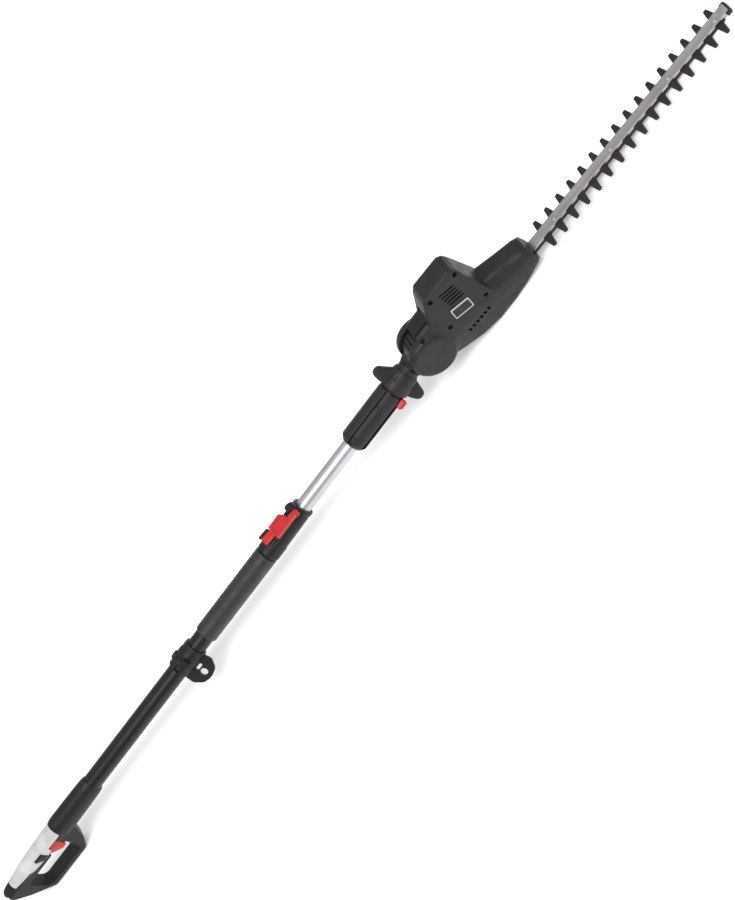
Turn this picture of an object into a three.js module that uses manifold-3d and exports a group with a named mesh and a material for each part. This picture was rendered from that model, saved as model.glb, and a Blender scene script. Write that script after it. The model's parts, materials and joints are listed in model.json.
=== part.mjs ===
// Pole hedge trimmer: a D-loop rear handle, a two-tube telescopic pole with a flip-lever clamp,
// a plug-in coupling with a winged release collar, and a tilting head that drives a double-sided
// reciprocating cutter. Millimetres, +X along the pole to the cutter tip, +Z up.
// Inside this file the pole axis is the X axis and the tilt hinge is at x = 0.
import * as THREE from "three";
import { mergeVertices } from "three/addons/utils/BufferGeometryUtils.js";
import Module from "manifold-3d";

// ---- Driving dimensions -------------------------------------------------------------------

const GAP = 0.3; // clearance kept between touching pieces
const FLOOR_Z = -67; // the surface that the trimmer lies on, below the pole axis
const ROUND = 24; // sides of a large round piece
const SMALL_ROUND = 10; // sides of a screw or a pin

// Handle
const BUTT_X = -1156;
const GRIP_R = 17.3;
// The grip's [x, radius] from its rear end to its front.
const GRIP_TAPER = [[-1126, 11.8], [-1108, 13.8], [-1085, 15], [-1055, 16.2], [-1002, GRIP_R]];
const BARREL_FRONT_X = -893;
const BARREL_R = 18.6;
const HANDLE_WALL = 2.6;
const GUARD_HALF_Y = 13;
const GUARD_TOP_Z = -54;
const OPENING_REAR_X = -1107;
const OPENING_FRONT_X = -1010;
const TRIGGER_HALF_Y = 12.6;
const TRIGGER_TOP_Z = 1; // of the trigger's two side skirts
const TRIGGER_PIVOT = [-1017, -9];

// Pole
const LOWER_TUBE_R = 15;
const LOWER_TUBE_WALL = 1.2;
const UPPER_TUBE_R = 12.5;
const UPPER_TUBE_WALL = 1.2;
const LOWER_TUBE_X = [-990, -323];
const UPPER_TUBE_X = [-880, -122];
const FOAM_X = [-574, -409];
const FOAM_R = 18;
const STRAP_X = -627; // centre of the harness bracket
const STRAP_TURN = THREE.MathUtils.degToRad(-38); // lug swung towards -Y
const CLAMP_X = [-408, -313];
const CLAMP_TURN = THREE.MathUtils.degToRad(17); // lever swung towards -Y
const LEVER_PIVOT = [-321, 21.5];
const LEVER_EYE_R = 5.3;

// Coupling
const COUPLING_X = [-193, -86.5];
const COUPLING_R = 21;
const COUPLING_TURN = THREE.MathUtils.degToRad(-7);
const COLLAR_X = [-86, -50];
const WING_R = 44;
const WING_TURN = THREE.MathUtils.degToRad(-17);
const NECK_R = 17.5;

// Head, drawn level about the tilt hinge and then drooped a little at rest
const HEAD_DROOP = THREE.MathUtils.degToRad(1.9);
const CHEEK_R = 38;
const CHEEK_Y = [15, 31];
const KNUCKLE_R = 33;
const NOTCH_STEP = THREE.MathUtils.degToRad(15);
const HEAD_WALL = 2.8;
const MOTOR_X = 92;
const PINION_TEETH = 10;
const GEAR_TEETH = 42;
const GEAR_MODULE = 0.9;
const GEAR_X = MOTOR_X + (GEAR_MODULE * (PINION_TEETH + GEAR_TEETH)) / 2;
const GEAR_Z = [-30, -23];
const ECCENTRICITY = 6.3; // half of each blade's stroke
const ECCENTRIC_R = 8;

// Cutter
const BLADE_T = 2;
const UPPER_BLADE_Z = -43.3;
const LOWER_BLADE_Z = UPPER_BLADE_Z - GAP - BLADE_T;
const TOOTH_COUNT = 16;
const TOOTH_PITCH = 25.3;
const FIRST_TOOTH_X = 228;
const TOOTH_TIP_Y = 29.7;
const SPINE_HALF_Y = 10.8;
const BAR_HALF_Y = 9.2;
const BAR_T = 3.6;
const BAR_X = [172, 636];
const BLADE_BOLT_X = [253, 379.5, 506, 607];

// ---- Materials ----------------------------------------------------------------------------

const finish = (color, roughness, metalness = 0) =>
  new THREE.MeshStandardMaterial({ color, roughness, metalness });

const BLACK_PLASTIC = finish(0x2c2a2b, 0.55);
const GREY_PLASTIC = finish(0x3a3839, 0.5);
const PALE_PLASTIC = finish(0xd7d6d2, 0.5);
const RED_PLASTIC = finish(0xd23a3e, 0.4);
const BLACK_TUBE = finish(0x1e1c1b, 0.35, 0.3);
const SILVER_TUBE = finish(0xc8c8cb, 0.3, 1);
const FOAM = finish(0x3a3838, 0.95);
const STEEL = finish(0xa5a0a3, 0.35, 1);
const DARK_STEEL = finish(0x322d2d, 0.45, 0.8);
const COPPER = finish(0x9a5a34, 0.4, 0.8);

// ---- Shape helpers ------------------------------------------------------------------------

const wasm = await Module();
wasm.setup();

/** Merge shared corners and drop faces of no area, so that the surface is closed. */
function closed(geometry) {
  const bare = geometry.clone();
  bare.deleteAttribute("normal");
  bare.deleteAttribute("uv");
  const merged = mergeVertices(bare, 1e-4);
  const index = merged.index.array;
  const kept = [];
  for (let i = 0; i < index.length; i += 3) {
    const [a, b, c] = [index[i], index[i + 1], index[i + 2]];
    if (a !== b && b !== c && c !== a) kept.push(a, b, c);
  }
  merged.setIndex(kept);
  return merged;
}

/** A closed geometry as a manifold-3d solid. */
function solid(geometry) {
  const merged = closed(geometry);
  const vertProperties = new Float32Array(merged.attributes.position.array);
  const triVerts = new Uint32Array(merged.index.array);
  const mesh = new wasm.Mesh({ numProp: 3, vertProperties, triVerts });
  return new wasm.Manifold(mesh);
}

/** A manifold-3d solid back as a three.js geometry. */
function geometryOf(manifold) {
  const mesh = manifold.getMesh();
  const geometry = new THREE.BufferGeometry();
  const points = new Float32Array(mesh.vertProperties);
  geometry.setAttribute("position", new THREE.BufferAttribute(points, 3));
  geometry.setIndex(Array.from(mesh.triVerts));
  return geometry;
}

const join = (first, ...rest) => rest.reduce((sum, part) => sum.add(part), first);
const cut = (first, ...rest) => rest.reduce((sum, part) => sum.subtract(part), first);

/** A closed outline from [a, b] corners; a third number rounds that corner, within half of its sides. */
function outline(corners) {
  const shape = new THREE.Shape();
  const count = corners.length;
  const at = (i) => new THREE.Vector2(...corners[(i + count) % count]);
  corners.forEach(([a, b, radius = 0], i) => {
    const draw = i === 0 ? "moveTo" : "lineTo";
    if (radius === 0) {
      shape[draw](a, b);
      return;
    }
    const towards = (other) => {
      const side = at(other).sub(at(i));
      return side.setLength(Math.min(radius, side.length() * 0.48)).add(at(i));
    };
    const start = towards(i - 1);
    const end = towards(i + 1);
    shape[draw](start.x, start.y);
    shape.quadraticCurveTo(a, b, end.x, end.y);
  });
  shape.closePath();
  return shape;
}

/** A round hole for an outline. */
function roundHole(a, b, radius) {
  return new THREE.Path().absarc(a, b, radius, 0, Math.PI * 2, true);
}

/** A hole with two half-round ends, centred at (a, b) and long in the first direction. */
function slotHole(a, b, length, width) {
  const r = width / 2;
  const reach = length / 2 - r;
  const hole = new THREE.Path();
  hole.absarc(a + reach, b, r, Math.PI / 2, -Math.PI / 2, true);
  hole.absarc(a - reach, b, r, -Math.PI / 2, -Math.PI * 1.5, true);
  hole.closePath();
  return hole;
}

const extruded = (shape, depth, curveSegments = 4) =>
  new THREE.ExtrudeGeometry(shape, { depth, bevelEnabled: false, curveSegments });

/** An X-Z outline with its thickness along Y. */
const slabXZ = (shape, yLow, yHigh, curve) =>
  extruded(shape, yHigh - yLow, curve).rotateX(Math.PI / 2).translate(0, yHigh, 0);

/** An X-Y outline with its thickness along Z. */
const slabXY = (shape, zLow, zHigh, curve) => extruded(shape, zHigh - zLow, curve).translate(0, 0, zLow);

/** A profile of [distance along the axis, radius] corners turned about X, Y or Z. */
function turned(profile, axis = "x", sides = ROUND) {
  const points = profile.map(([along, radius]) => new THREE.Vector2(radius, along));
  const geometry = new THREE.LatheGeometry(points, sides);
  if (axis === "x") geometry.rotateZ(-Math.PI / 2);
  if (axis === "z") geometry.rotateX(Math.PI / 2);
  return geometry;
}

/** A solid rod's profile, and a sleeve's. */
const rod = (low, high, radius) => [[low, 0], [low, radius], [high, radius], [high, 0]];
const sleeve = (low, high, inner, outer) => [
  [low, inner], [low, outer], [high, outer], [high, inner], [low, inner],
];

function box(xLow, xHigh, yLow, yHigh, zLow, zHigh) {
  const geometry = new THREE.BoxGeometry(xHigh - xLow, yHigh - yLow, zHigh - zLow);
  return geometry.translate((xLow + xHigh) / 2, (yLow + yHigh) / 2, (zLow + zHigh) / 2);
}

/** The half-space box on one side (-1 or 1) of the X-Z plane, used to split a casing. */
const SPLIT_REACH = 1300;
function halfSpace(side) {
  const near = GAP / 2;
  const ySpan = side < 0 ? [-SPLIT_REACH, -near] : [near, SPLIT_REACH];
  return solid(box(-SPLIT_REACH, SPLIT_REACH, ...ySpan, -SPLIT_REACH, SPLIT_REACH));
}

/** A coil spring along Z from its lowest to its highest turn. */
class Helix extends THREE.Curve {
  constructor(radius, turns, zLow, zHigh) {
    super();
    Object.assign(this, { radius, turns, zLow, zHigh });
  }
  getPoint(t) {
    const angle = t * this.turns * Math.PI * 2;
    const z = THREE.MathUtils.lerp(this.zLow, this.zHigh, t);
    return new THREE.Vector3(this.radius * Math.cos(angle), this.radius * Math.sin(angle), z);
  }
}

function coilSpring(radius, wire, turns, zLow, zHigh) {
  const wireSection = outline([[wire, 0], [0, wire], [-wire, 0], [0, -wire]]);
  const path = new Helix(radius, turns, zLow, zHigh);
  return new THREE.ExtrudeGeometry(wireSection, { steps: turns * 9, extrudePath: path, curveSegments: 1 });
}

/** A screw along Y: the head's outer face at y, pointing to one side (-1 or 1). */
function screwY(x, z, y, side, headR, headT, shankR, length) {
  const profile = [[0, 0], [0, headR], [headT, headR], [headT, shankR], [length, shankR], [length, 0]];
  const geometry = turned(profile, "y", SMALL_ROUND);
  if (side > 0) geometry.rotateX(Math.PI);
  return geometry.translate(x, y, z);
}

const trimmer = new THREE.Group();
const upperPole = new THREE.Group();
const head = new THREE.Group();
head.rotation.y = HEAD_DROOP;
upperPole.add(head);
trimmer.add(upperPole);

/** Put one named piece in its group. */
function place(name, shape, material, group = trimmer) {
  const geometry = shape.isBufferGeometry ? closed(shape) : geometryOf(shape);
  geometry.computeVertexNormals();
  const mesh = new THREE.Mesh(geometry, material);
  mesh.name = name;
  group.add(mesh);
  return mesh;
}

// ---- Handle -------------------------------------------------------------------------------

/** The outer side view of the handle's black body: butt, guard bar and front post. */
function handleOutline() {
  return outline([
    [BUTT_X, -8, 6], [BUTT_X + 2, 7, 7], [BUTT_X + 16, 10.5, 8], [-1122, 11], [-960, 0], [-958, -14, 6],
    [-978, -20, 10], [-996, -50, 12], [-1012, FLOOR_Z, 9], [-1104, FLOOR_Z, 9], [-1140, -28, 10],
  ]);
}

/** The finger opening between the grip and the guard bar. */
function openingOutline() {
  return outline([
    [OPENING_FRONT_X, -GRIP_R + 1, 3], [OPENING_REAR_X - 2, -GRIP_R + 1, 3],
    [OPENING_REAR_X + 3, GUARD_TOP_Z, 8], [OPENING_FRONT_X - 4, GUARD_TOP_Z, 5],
  ]);
}

/** The handle's whole outer form, before it is hollowed and split. */
function handleForm() {
  const loop = solid(slabXZ(handleOutline(), -GUARD_HALF_Y, GUARD_HALF_Y));
  const opening = solid(slabXZ(openingOutline(), -GUARD_HALF_Y - 1, GUARD_HALF_Y + 1));
  const gripProfile = [[-1146, 0], [-1146, 9], ...GRIP_TAPER, [-996, GRIP_R], [-996, 0]];
  const barrelProfile = [
    [-1004, 0], [-1004, BARREL_R - 4], [-999, BARREL_R], [-920, BARREL_R - 1], [-900, BARREL_R - 1.3],
    [BARREL_FRONT_X, BARREL_R - 2.2], [BARREL_FRONT_X, 0],
  ];
  const barrel = turned(barrelProfile).scale(1, 0.97, 1.13).translate(0, 0, -1.1);
  return join(cut(loop, opening), solid(turned(gripProfile)), solid(barrel));
}

/** The zigzag line where the pale cover meets the black body, as the cover's side view. */
function coverOutline(grow) {
  return outline([
    [-1122 - grow, 5 - grow], [-1094, 5 - grow], [-1084, -5 - grow], [-1040, -5 - grow],
    [-1032, 4 - grow], [-1002, 4 - grow], [-1002, 30], [-1122 - grow, 30],
  ]);
}

/** The grip's outer form drawn in by a depth, from one x to another on its taper. */
function gripForm(depth, rearX) {
  const [first, ...rest] = GRIP_TAPER;
  const inner = [[rearX, first[1]], ...rest].map(([x, radius]) => [x, radius - depth]);
  return solid(turned([[rearX, 0], ...inner, [-1001, GRIP_R - depth], [-1001, 0]]));
}

/** The hollow of the grip, and the bore that holds the lower tube. */
function handleHollow() {
  const gripHollow = gripForm(HANDLE_WALL, -1124);
  const tubeBore = solid(turned(rod(LOWER_TUBE_X[0] - GAP, BARREL_FRONT_X + 1, LOWER_TUBE_R + GAP)));
  const triggerSlot = solid(box(-1043, OPENING_FRONT_X + 1, -20, 20, -30, TRIGGER_TOP_Z + 0.5));
  const inletBore = solid(turned(rod(BUTT_X - 5, -1125, 9.3), "x", SMALL_ROUND).translate(0, 0, -1));
  return join(gripHollow, tubeBore, triggerSlot, inletBore);
}

const HANDLE_SCREWS = [[-1128, -22], [-1000, -34]];
const HANDLE_SCREW_FACE_Y = -11;
const LOCK_HOLE_Y = -7.5;

function buildHandle() {
  const coverZone = solid(slabXZ(coverOutline(GAP), -30, 30)).subtract(gripForm(HANDLE_WALL + 0.2, -1126));
  const body = cut(handleForm(), handleHollow(), coverZone, inlayForm(GAP, LOCK_HOLE_Y));
  const screwHoles = HANDLE_SCREWS.map(([x, z]) =>
    solid(screwY(x, z, HANDLE_SCREW_FACE_Y, -1, 3.3, 3, 1.9, 18)).add(
      solid(turned(rod(-20, HANDLE_SCREW_FACE_Y + 1, 3.3), "y", SMALL_ROUND).translate(x, 0, z)),
    ),
  );
  const drilled = cut(body, ...screwHoles);
  place("handle_shell_left", drilled.intersect(halfSpace(-1)), BLACK_PLASTIC);
  place("handle_shell_right", drilled.intersect(halfSpace(1)), BLACK_PLASTIC);
  const cover = gripForm(0, -1126)
    .subtract(gripForm(HANDLE_WALL - GAP / 2, -1130))
    .intersect(solid(slabXZ(coverOutline(0), -30, 30)))
    .subtract(inlayForm(GAP, LOCK_HOLE_Y));
  place("grip_cover", cover, PALE_PLASTIC);
  HANDLE_SCREWS.forEach(([x, z], i) => {
    const screw = screwY(x, z, HANDLE_SCREW_FACE_Y, -1, 3, 2.4, 1.6, 17);
    place(`handle_screw_${i + 1}`, screw, DARK_STEEL);
  });
}

/** The slanted thumb button in the left side of the cover, or the hole that it slides in. */
function inlayForm(grow, innerY = -11.6) {
  const slant = outline([
    [-1063 - grow * 2, 8 + grow], [-1052 - grow * 2, -4.2 - grow],
    [-1040 + grow * 2, -4.2 - grow], [-1046 + grow * 2, 8 + grow],
  ]);
  return solid(slabXZ(slant, -17.4 - grow, innerY));
}

function buildTrigger() {
  const [px, pz] = TRIGGER_PIVOT;
  const side = outline([
    [px + 5, pz + 5, 3], [px - 22, pz + 4], [px - 23, pz - 3, 3], [px - 16, pz - 9, 5],
    [px - 6, pz - 17, 5], [px + 4, pz - 16, 4],
  ]);
  const paddle = solid(slabXZ(side, -TRIGGER_HALF_Y, TRIGGER_HALF_Y, 3));
  const skirts = [-1, 1].map((side) => {
    const [low, high] = [side * TRIGGER_HALF_Y, side * (TRIGGER_HALF_Y - 2.2)].sort((a, b) => a - b);
    return solid(box(px - 22, px + 4, low, high, pz - 3, TRIGGER_TOP_Z));
  });
  const bore = solid(turned(rod(-20, 20, 2.3), "y", SMALL_ROUND).translate(px, 0, pz));
  place("trigger", cut(join(paddle, ...skirts), bore), RED_PLASTIC);
  const pinHalfY = TRIGGER_HALF_Y - 0.6;
  place("trigger_pin", turned(rod(-pinHalfY, pinHalfY, 2), "y", SMALL_ROUND).translate(px, 0, pz), STEEL);
  const spring = coilSpring(3, 0.5, 4, pz + 5.2, pz + 12).translate(px - 16, 0, 0);
  place("trigger_spring", spring, STEEL);
  const plunger = solid(turned(rod(-1.6, 4, 2), "z", SMALL_ROUND).translate(px - 6, 0, 0));
  const body = solid(box(px - 11, px + 7, -6, 6, 0.5, 11));
  place("power_switch", join(body, plunger), GREY_PLASTIC);
  place("lock_off_button", inlayForm(-0.2), BLACK_PLASTIC);
}

function buildInlet() {
  const profile = [
    [-1154, 3.5], [-1154, 9], [-1128, 9], [-1128, 3.5], [-1154, 3.5],
  ];
  place("cord_inlet", turned(profile, "x", SMALL_ROUND).translate(0, 0, -1), GREY_PLASTIC);
}

// ---- Lower pole ---------------------------------------------------------------------------

function buildLowerPole() {
  const tube = sleeve(...LOWER_TUBE_X, LOWER_TUBE_R - LOWER_TUBE_WALL, LOWER_TUBE_R);
  place("lower_tube", turned(tube), BLACK_TUBE);
  const [rear, front] = FOAM_X;
  const foam = [
    [rear, LOWER_TUBE_R + GAP], [rear, FOAM_R - 1.5], [rear + 3, FOAM_R], [front - 3, FOAM_R],
    [front, FOAM_R - 1.5], [front, LOWER_TUBE_R + GAP], [rear, LOWER_TUBE_R + GAP],
  ];
  place("foam_grip", turned(foam), FOAM);
}

const STRAP_HALF_X = 21;
const STRAP_R = 18.5;
const STRAP_BOLT_Y = 22.8;

/** The harness bracket: a saddle with the lug, a cap, and a bolt on each side. */
function buildStrapBracket() {
  const group = new THREE.Group();
  group.position.x = STRAP_X;
  group.rotation.x = STRAP_TURN;
  trimmer.add(group);
  const band = solid(turned(sleeve(-STRAP_HALF_X, STRAP_HALF_X, LOWER_TUBE_R + GAP, STRAP_R)));
  const ears = solid(box(-7, 7, -27, 27, -6, 6));
  const tubeSpace = solid(turned(rod(-30, 30, LOWER_TUBE_R + GAP)));
  const boltHole = (y) =>
    solid(turned(rod(-10, 10, 2.3), "z", SMALL_ROUND).translate(0, y, 0));
  const holes = [boltHole(-STRAP_BOLT_Y), boltHole(STRAP_BOLT_Y)];
  const ring = cut(join(band, ears), tubeSpace, ...holes);
  const lowerHalf = solid(box(-40, 40, -40, 40, -60, -GAP / 2));
  const upperHalf = solid(box(-40, 40, -40, 40, GAP / 2, 60));
  const lugShape = outline([
    [-25, -12], [-25, -32, 6], [-14, -44, 10], [0, -47, 8], [14, -44, 10], [25, -32, 6], [25, -12],
  ]);
  lugShape.holes.push(roundHole(0, -33, 6), slotHole(2, -22.2, 13, 5));
  const lug = cut(solid(slabXZ(lugShape, -2.5, 2.5, 5)), tubeSpace);
  place("strap_bracket_lug", join(ring.intersect(lowerHalf), lug), BLACK_PLASTIC, group);
  const boss = cut(solid(turned(rod(12, 21, 6), "z", SMALL_ROUND).translate(-3, 0, 0)), tubeSpace);
  place("strap_bracket_cap", join(ring.intersect(upperHalf), boss), BLACK_PLASTIC, group);
  [-STRAP_BOLT_Y, STRAP_BOLT_Y].forEach((y, i) => {
    const bolt = turned([[-8, 0], [-8, 2], [6.3, 2], [6.3, 3.8], [9.5, 3.8], [9.5, 0]], "z", SMALL_ROUND);
    place(`strap_bracket_bolt_${i + 1}`, bolt.translate(0, y, 0), STEEL, group);
  });
}

/** The flip-lever clamp that locks the upper tube. */
function buildClamp() {
  const group = new THREE.Group();
  group.rotation.x = CLAMP_TURN;
  trimmer.add(group);
  const [rear, front] = CLAMP_X;
  const [px, pz] = LEVER_PIVOT;
  const bore = LOWER_TUBE_R + GAP;
  const nose = UPPER_TUBE_R + GAP;
  const collarProfile = [
    [rear, bore], [rear, 17], [rear + 3, 18.3], [rear + 24, 18.3], [rear + 50, 17.2],
    [front - 10, 16.6], [front - 9, 15.6], [front, 15.4], [front, nose], [front - 9, nose],
    [front - 9, bore], [rear, bore],
  ];
  const collar = solid(turned(collarProfile));
  const boss = solid(turned(rod(-2.5, 9.5, 8), "y", SMALL_ROUND + 4).translate(px, 0, pz));
  const seat = solid(box(px - 10, px + 7, -2.5, 9.5, 10, pz));
  const pinHole = solid(turned(rod(-20, 8, 2.4), "y", SMALL_ROUND).translate(px, 0, pz));
  const tubeSpace = join(
    solid(turned(rod(rear - 5, front - 9, bore))), solid(turned(rod(front - 10, front + 5, nose))),
  );
  const eyeSpace = solid(turned(rod(-13.2, -2.6, LEVER_EYE_R + 2 * GAP), "y").translate(px, 0, pz));
  const body = cut(join(collar, boss, seat), pinHole, tubeSpace, eyeSpace);
  place("clamp_collar", body, BLACK_PLASTIC, group);
  place("lever_pin", turned(rod(-13, 7, 2), "y", SMALL_ROUND).translate(px, 0, pz), STEEL, group);
  const eye = solid(turned(rod(-12.4, -3, LEVER_EYE_R), "y").translate(px, 0, pz));
  const neck = solid(slabXZ(outline([
    [px, pz + LEVER_EYE_R], [px, pz - 2], [px - 6, pz - 2], [px - 14, pz - 0.6], [px - 14, pz + 5],
  ]), -12.4, -3));
  const plate = solid(slabXZ(outline([
    [px - 13, pz - 0.6], [px - 46, pz - 0.6], [px - 47, pz + 3.5, 1.5], [px - 13, pz + 5],
  ]), -12.8, 12.2));
  const tongue = solid(slabXZ(outline([
    [px - 45, pz - 0.6], [px - 67, pz + 3], [px - 68, pz + 7, 1], [px - 45, pz + 4],
  ]), -9, 3));
  const leverHole = solid(turned(rod(-20, 0, 2.3), "y", SMALL_ROUND).translate(px, 0, pz));
  place("clamp_lever", cut(join(eye, neck, plate, tongue), leverHole), RED_PLASTIC, group);
  const tab = outline([
    [px - 49, pz], [px - 66, pz + 3], [px - 69, pz + 9, 1], [px - 49, pz + 7, 1],
  ]);
  place("lever_tab", slabXZ(tab, 3 + GAP, 7.5), BLACK_PLASTIC, group);
  const bush = sleeve(front - 60, front - 9 - GAP, UPPER_TUBE_R + GAP, LOWER_TUBE_R - LOWER_TUBE_WALL - GAP);
  place("guide_bush", turned(bush), GREY_PLASTIC);
}

// ---- Upper pole and coupling --------------------------------------------------------------

const COUPLING_SCREWS = [[-178, 45], [-118, 45], [-175, -45], [-122, -45]];
const SCREW_SEAT_R = 16.6;

/** A short radial screw in the coupling at an angle above (-Y is 0 degrees). */
function radialY(geometry, x, degrees) {
  return geometry.rotateX(THREE.MathUtils.degToRad(-degrees)).translate(x, 0, 0);
}

function buildUpperPole() {
  const tube = sleeve(...UPPER_TUBE_X, UPPER_TUBE_R - UPPER_TUBE_WALL, UPPER_TUBE_R);
  place("upper_tube", turned(tube), SILVER_TUBE, upperPole);
  const [inner] = UPPER_TUBE_X;
  const plugR = LOWER_TUBE_R - LOWER_TUBE_WALL - GAP;
  const stemR = UPPER_TUBE_R - UPPER_TUBE_WALL - GAP;
  const plug = [
    [inner - 4, 6], [inner - 4, plugR], [inner - GAP, plugR], [inner - GAP, stemR],
    [inner + 16, stemR], [inner + 16, 6], [inner - 4, 6],
  ];
  place("tube_end_plug", turned(plug), GREY_PLASTIC, upperPole);
}

/** The grooved plastic grip that joins the pole to the head's spigot. */
function buildCoupling() {
  const group = new THREE.Group();
  group.rotation.x = COUPLING_TURN;
  upperPole.add(group);
  const [rear, front] = COUPLING_X;
  const bodyProfile = [
    [rear, UPPER_TUBE_R + GAP], [rear, 13.6], [rear + 3, 16], [rear + 10, COUPLING_R - 0.6],
    [rear + 13, COUPLING_R], [front, COUPLING_R], [front, UPPER_TUBE_R + GAP],
    [rear, UPPER_TUBE_R + GAP],
  ];
  let body = solid(turned(bodyProfile, "x", 32));
  for (const degrees of [45, -45, 135, -135]) {
    const groove = radialY(box(rear + 12, front + 5, -30, -18.6, -2.4, 2.4), 0, degrees);
    body = body.subtract(solid(groove));
  }
  for (const [x, degrees] of COUPLING_SCREWS) {
    const seat = turned(rod(-30, -SCREW_SEAT_R + GAP, 2.3), "y", SMALL_ROUND);
    body = body.subtract(solid(radialY(seat, x, degrees)));
  }
  const buttonWell = radialY(box(-102, front + 5, -30, -15.5, -4.6, 4.6), 0, -45);
  body = body.subtract(solid(buttonWell));
  place("coupling_shell_left", body.intersect(halfSpace(-1)), GREY_PLASTIC, group);
  place("coupling_shell_right", body.intersect(halfSpace(1)), GREY_PLASTIC, group);
  COUPLING_SCREWS.forEach(([x, degrees], i) => {
    const screw = turned(rod(-18.4, -SCREW_SEAT_R, 2), "y", SMALL_ROUND);
    place(`coupling_screw_${i + 1}`, radialY(screw, x, degrees), DARK_STEEL, group);
  });
  const ribs = [-99, -96, -93, -90].map((x) => solid(box(x, x + 1.6, -28.5, -26.5, -3.6, 3.6)));
  const button = join(solid(box(-101, -87, -27, -18.6, -4.2, 4.2)), ...ribs);
  place("coupling_button", closedOn(button, -45), RED_PLASTIC, group);
  const spring = coilSpring(2.4, 0.45, 3, 16.1, 18.2).rotateX(Math.PI / 2).translate(-94, 0, 0);
  place("button_spring", radialY(spring, 0, -45), STEEL, group);
}

/** A manifold turned about X like radialY turns a geometry. */
const closedOn = (manifold, degrees) => radialY(geometryOf(manifold), 0, degrees);

function buildReleaseCollar() {
  const [rear, front] = COLLAR_X;
  const bore = NECK_R + GAP;
  const ring = solid(turned([
    [rear, bore], [rear, 22], [rear + 4, 23], [rear + 18, 22.6], [front - 4, 20], [front, 18.8],
    [front, bore], [rear, bore],
  ]));
  const wingShape = outline([
    [rear + 2, 16], [rear + 5, 30], [rear + 9, WING_R, 6], [rear + 21, WING_R - 1, 6],
    [front - 9, 29, 5], [front - 1, 16],
  ]);
  const wing = solid(slabXZ(wingShape, -4.5, 4.5));
  const otherWing = solid(slabXZ(wingShape, -4.5, 4.5).rotateX(Math.PI));
  const neckSpace = solid(turned(rod(rear - 5, front + 5, bore)));
  const pockets = [50, 130, 230, 310].map((degrees) =>
    solid(radialY(box(-66, -58, -26, -20.6, -3.5, 3.5), 0, degrees)),
  );
  const collar = cut(join(ring, wing, otherWing), neckSpace, ...pockets);
  const mesh = place("release_collar", collar, GREY_PLASTIC, upperPole);
  mesh.rotation.x = WING_TURN;
}

/** Notches round the knuckle that the tilt pawl drops into. */
function notchAt(angle) {
  const [floor, mouth] = [KNUCKLE_R - 3, KNUCKLE_R + 4];
  const wedge = outline([[floor, -0.8], [mouth, -3.4], [mouth, 3.4], [floor, 0.8]]);
  return solid(slabXZ(wedge, -20, 20).rotateY(-angle));
}

const PAWL_ANGLE = THREE.MathUtils.degToRad(72);

function buildNeck() {
  const spigotR = UPPER_TUBE_R;
  const neck = solid(turned([
    [-116, 0], [-116, spigotR - 1], [-114, spigotR], [COLLAR_X[0], spigotR], [COLLAR_X[0], NECK_R],
    [-42, NECK_R], [-40, NECK_R - 1.5], [-40, 0],
  ]));
  const disc = solid(turned(rod(-13, 13, KNUCKLE_R), "y", 36));
  const tongue = solid(slabXZ(outline([[-41, 13.5], [-41, -13.5], [-20, -20], [-20, 20]]), -13, 13));
  const notches = [];
  for (let step = -5; step <= 3; step += 1) {
    notches.push(notchAt(PAWL_ANGLE - HEAD_DROOP + step * NOTCH_STEP));
  }
  const bolt = solid(turned(rod(-20, 20, 5.3), "y", SMALL_ROUND));
  const wireWay = solid(turned(rod(-120, -30, 7), "x", SMALL_ROUND));
  const wireExit = solid(box(-36, -26, -7, 7, -45, 0));
  const knuckle = cut(join(neck, disc, tongue), bolt, wireWay, wireExit, ...notches);
  place("neck_knuckle", knuckle, GREY_PLASTIC, upperPole);
}

// ---- Head ---------------------------------------------------------------------------------

/** One cross-section of the head: a twelve-sided ring in the Y-Z plane at x. */
function section({ x, top, bottom, halfTop, halfMid, mid, halfBottom }, wall) {
  const chamfer = 4;
  const high = top - wall;
  const low = bottom + wall;
  const [a, b, c] = [halfTop - wall, halfMid - wall, halfBottom - wall];
  const right = [
    [a - chamfer, high], [a, high - chamfer], [b, mid + 8],
    [b, mid - 8], [c, low + chamfer], [c - chamfer, low],
  ];
  const left = right.map(([y, z]) => [-y, z]).reverse();
  return [...right, ...left].map(([y, z]) => new THREE.Vector3(x, y, z));
}

/** A closed skin over a row of cross-sections, each a convex ring of as many points. */
function loft(rings) {
  const count = rings[0].length;
  const positions = rings.flat().flatMap((point) => point.toArray());
  const index = [];
  for (let r = 0; r < rings.length - 1; r += 1) {
    for (let i = 0; i < count; i += 1) {
      const here = r * count + i;
      const next = r * count + ((i + 1) % count);
      index.push(here, here + count, next, next, here + count, next + count);
    }
  }
  const last = (rings.length - 1) * count;
  for (let i = 1; i < count - 1; i += 1) {
    index.push(0, i, i + 1);
    index.push(last, last + i + 1, last + i);
  }
  const geometry = new THREE.BufferGeometry();
  geometry.setAttribute("position", new THREE.Float32BufferAttribute(positions, 3));
  geometry.setIndex(index);
  return geometry;
}

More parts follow.
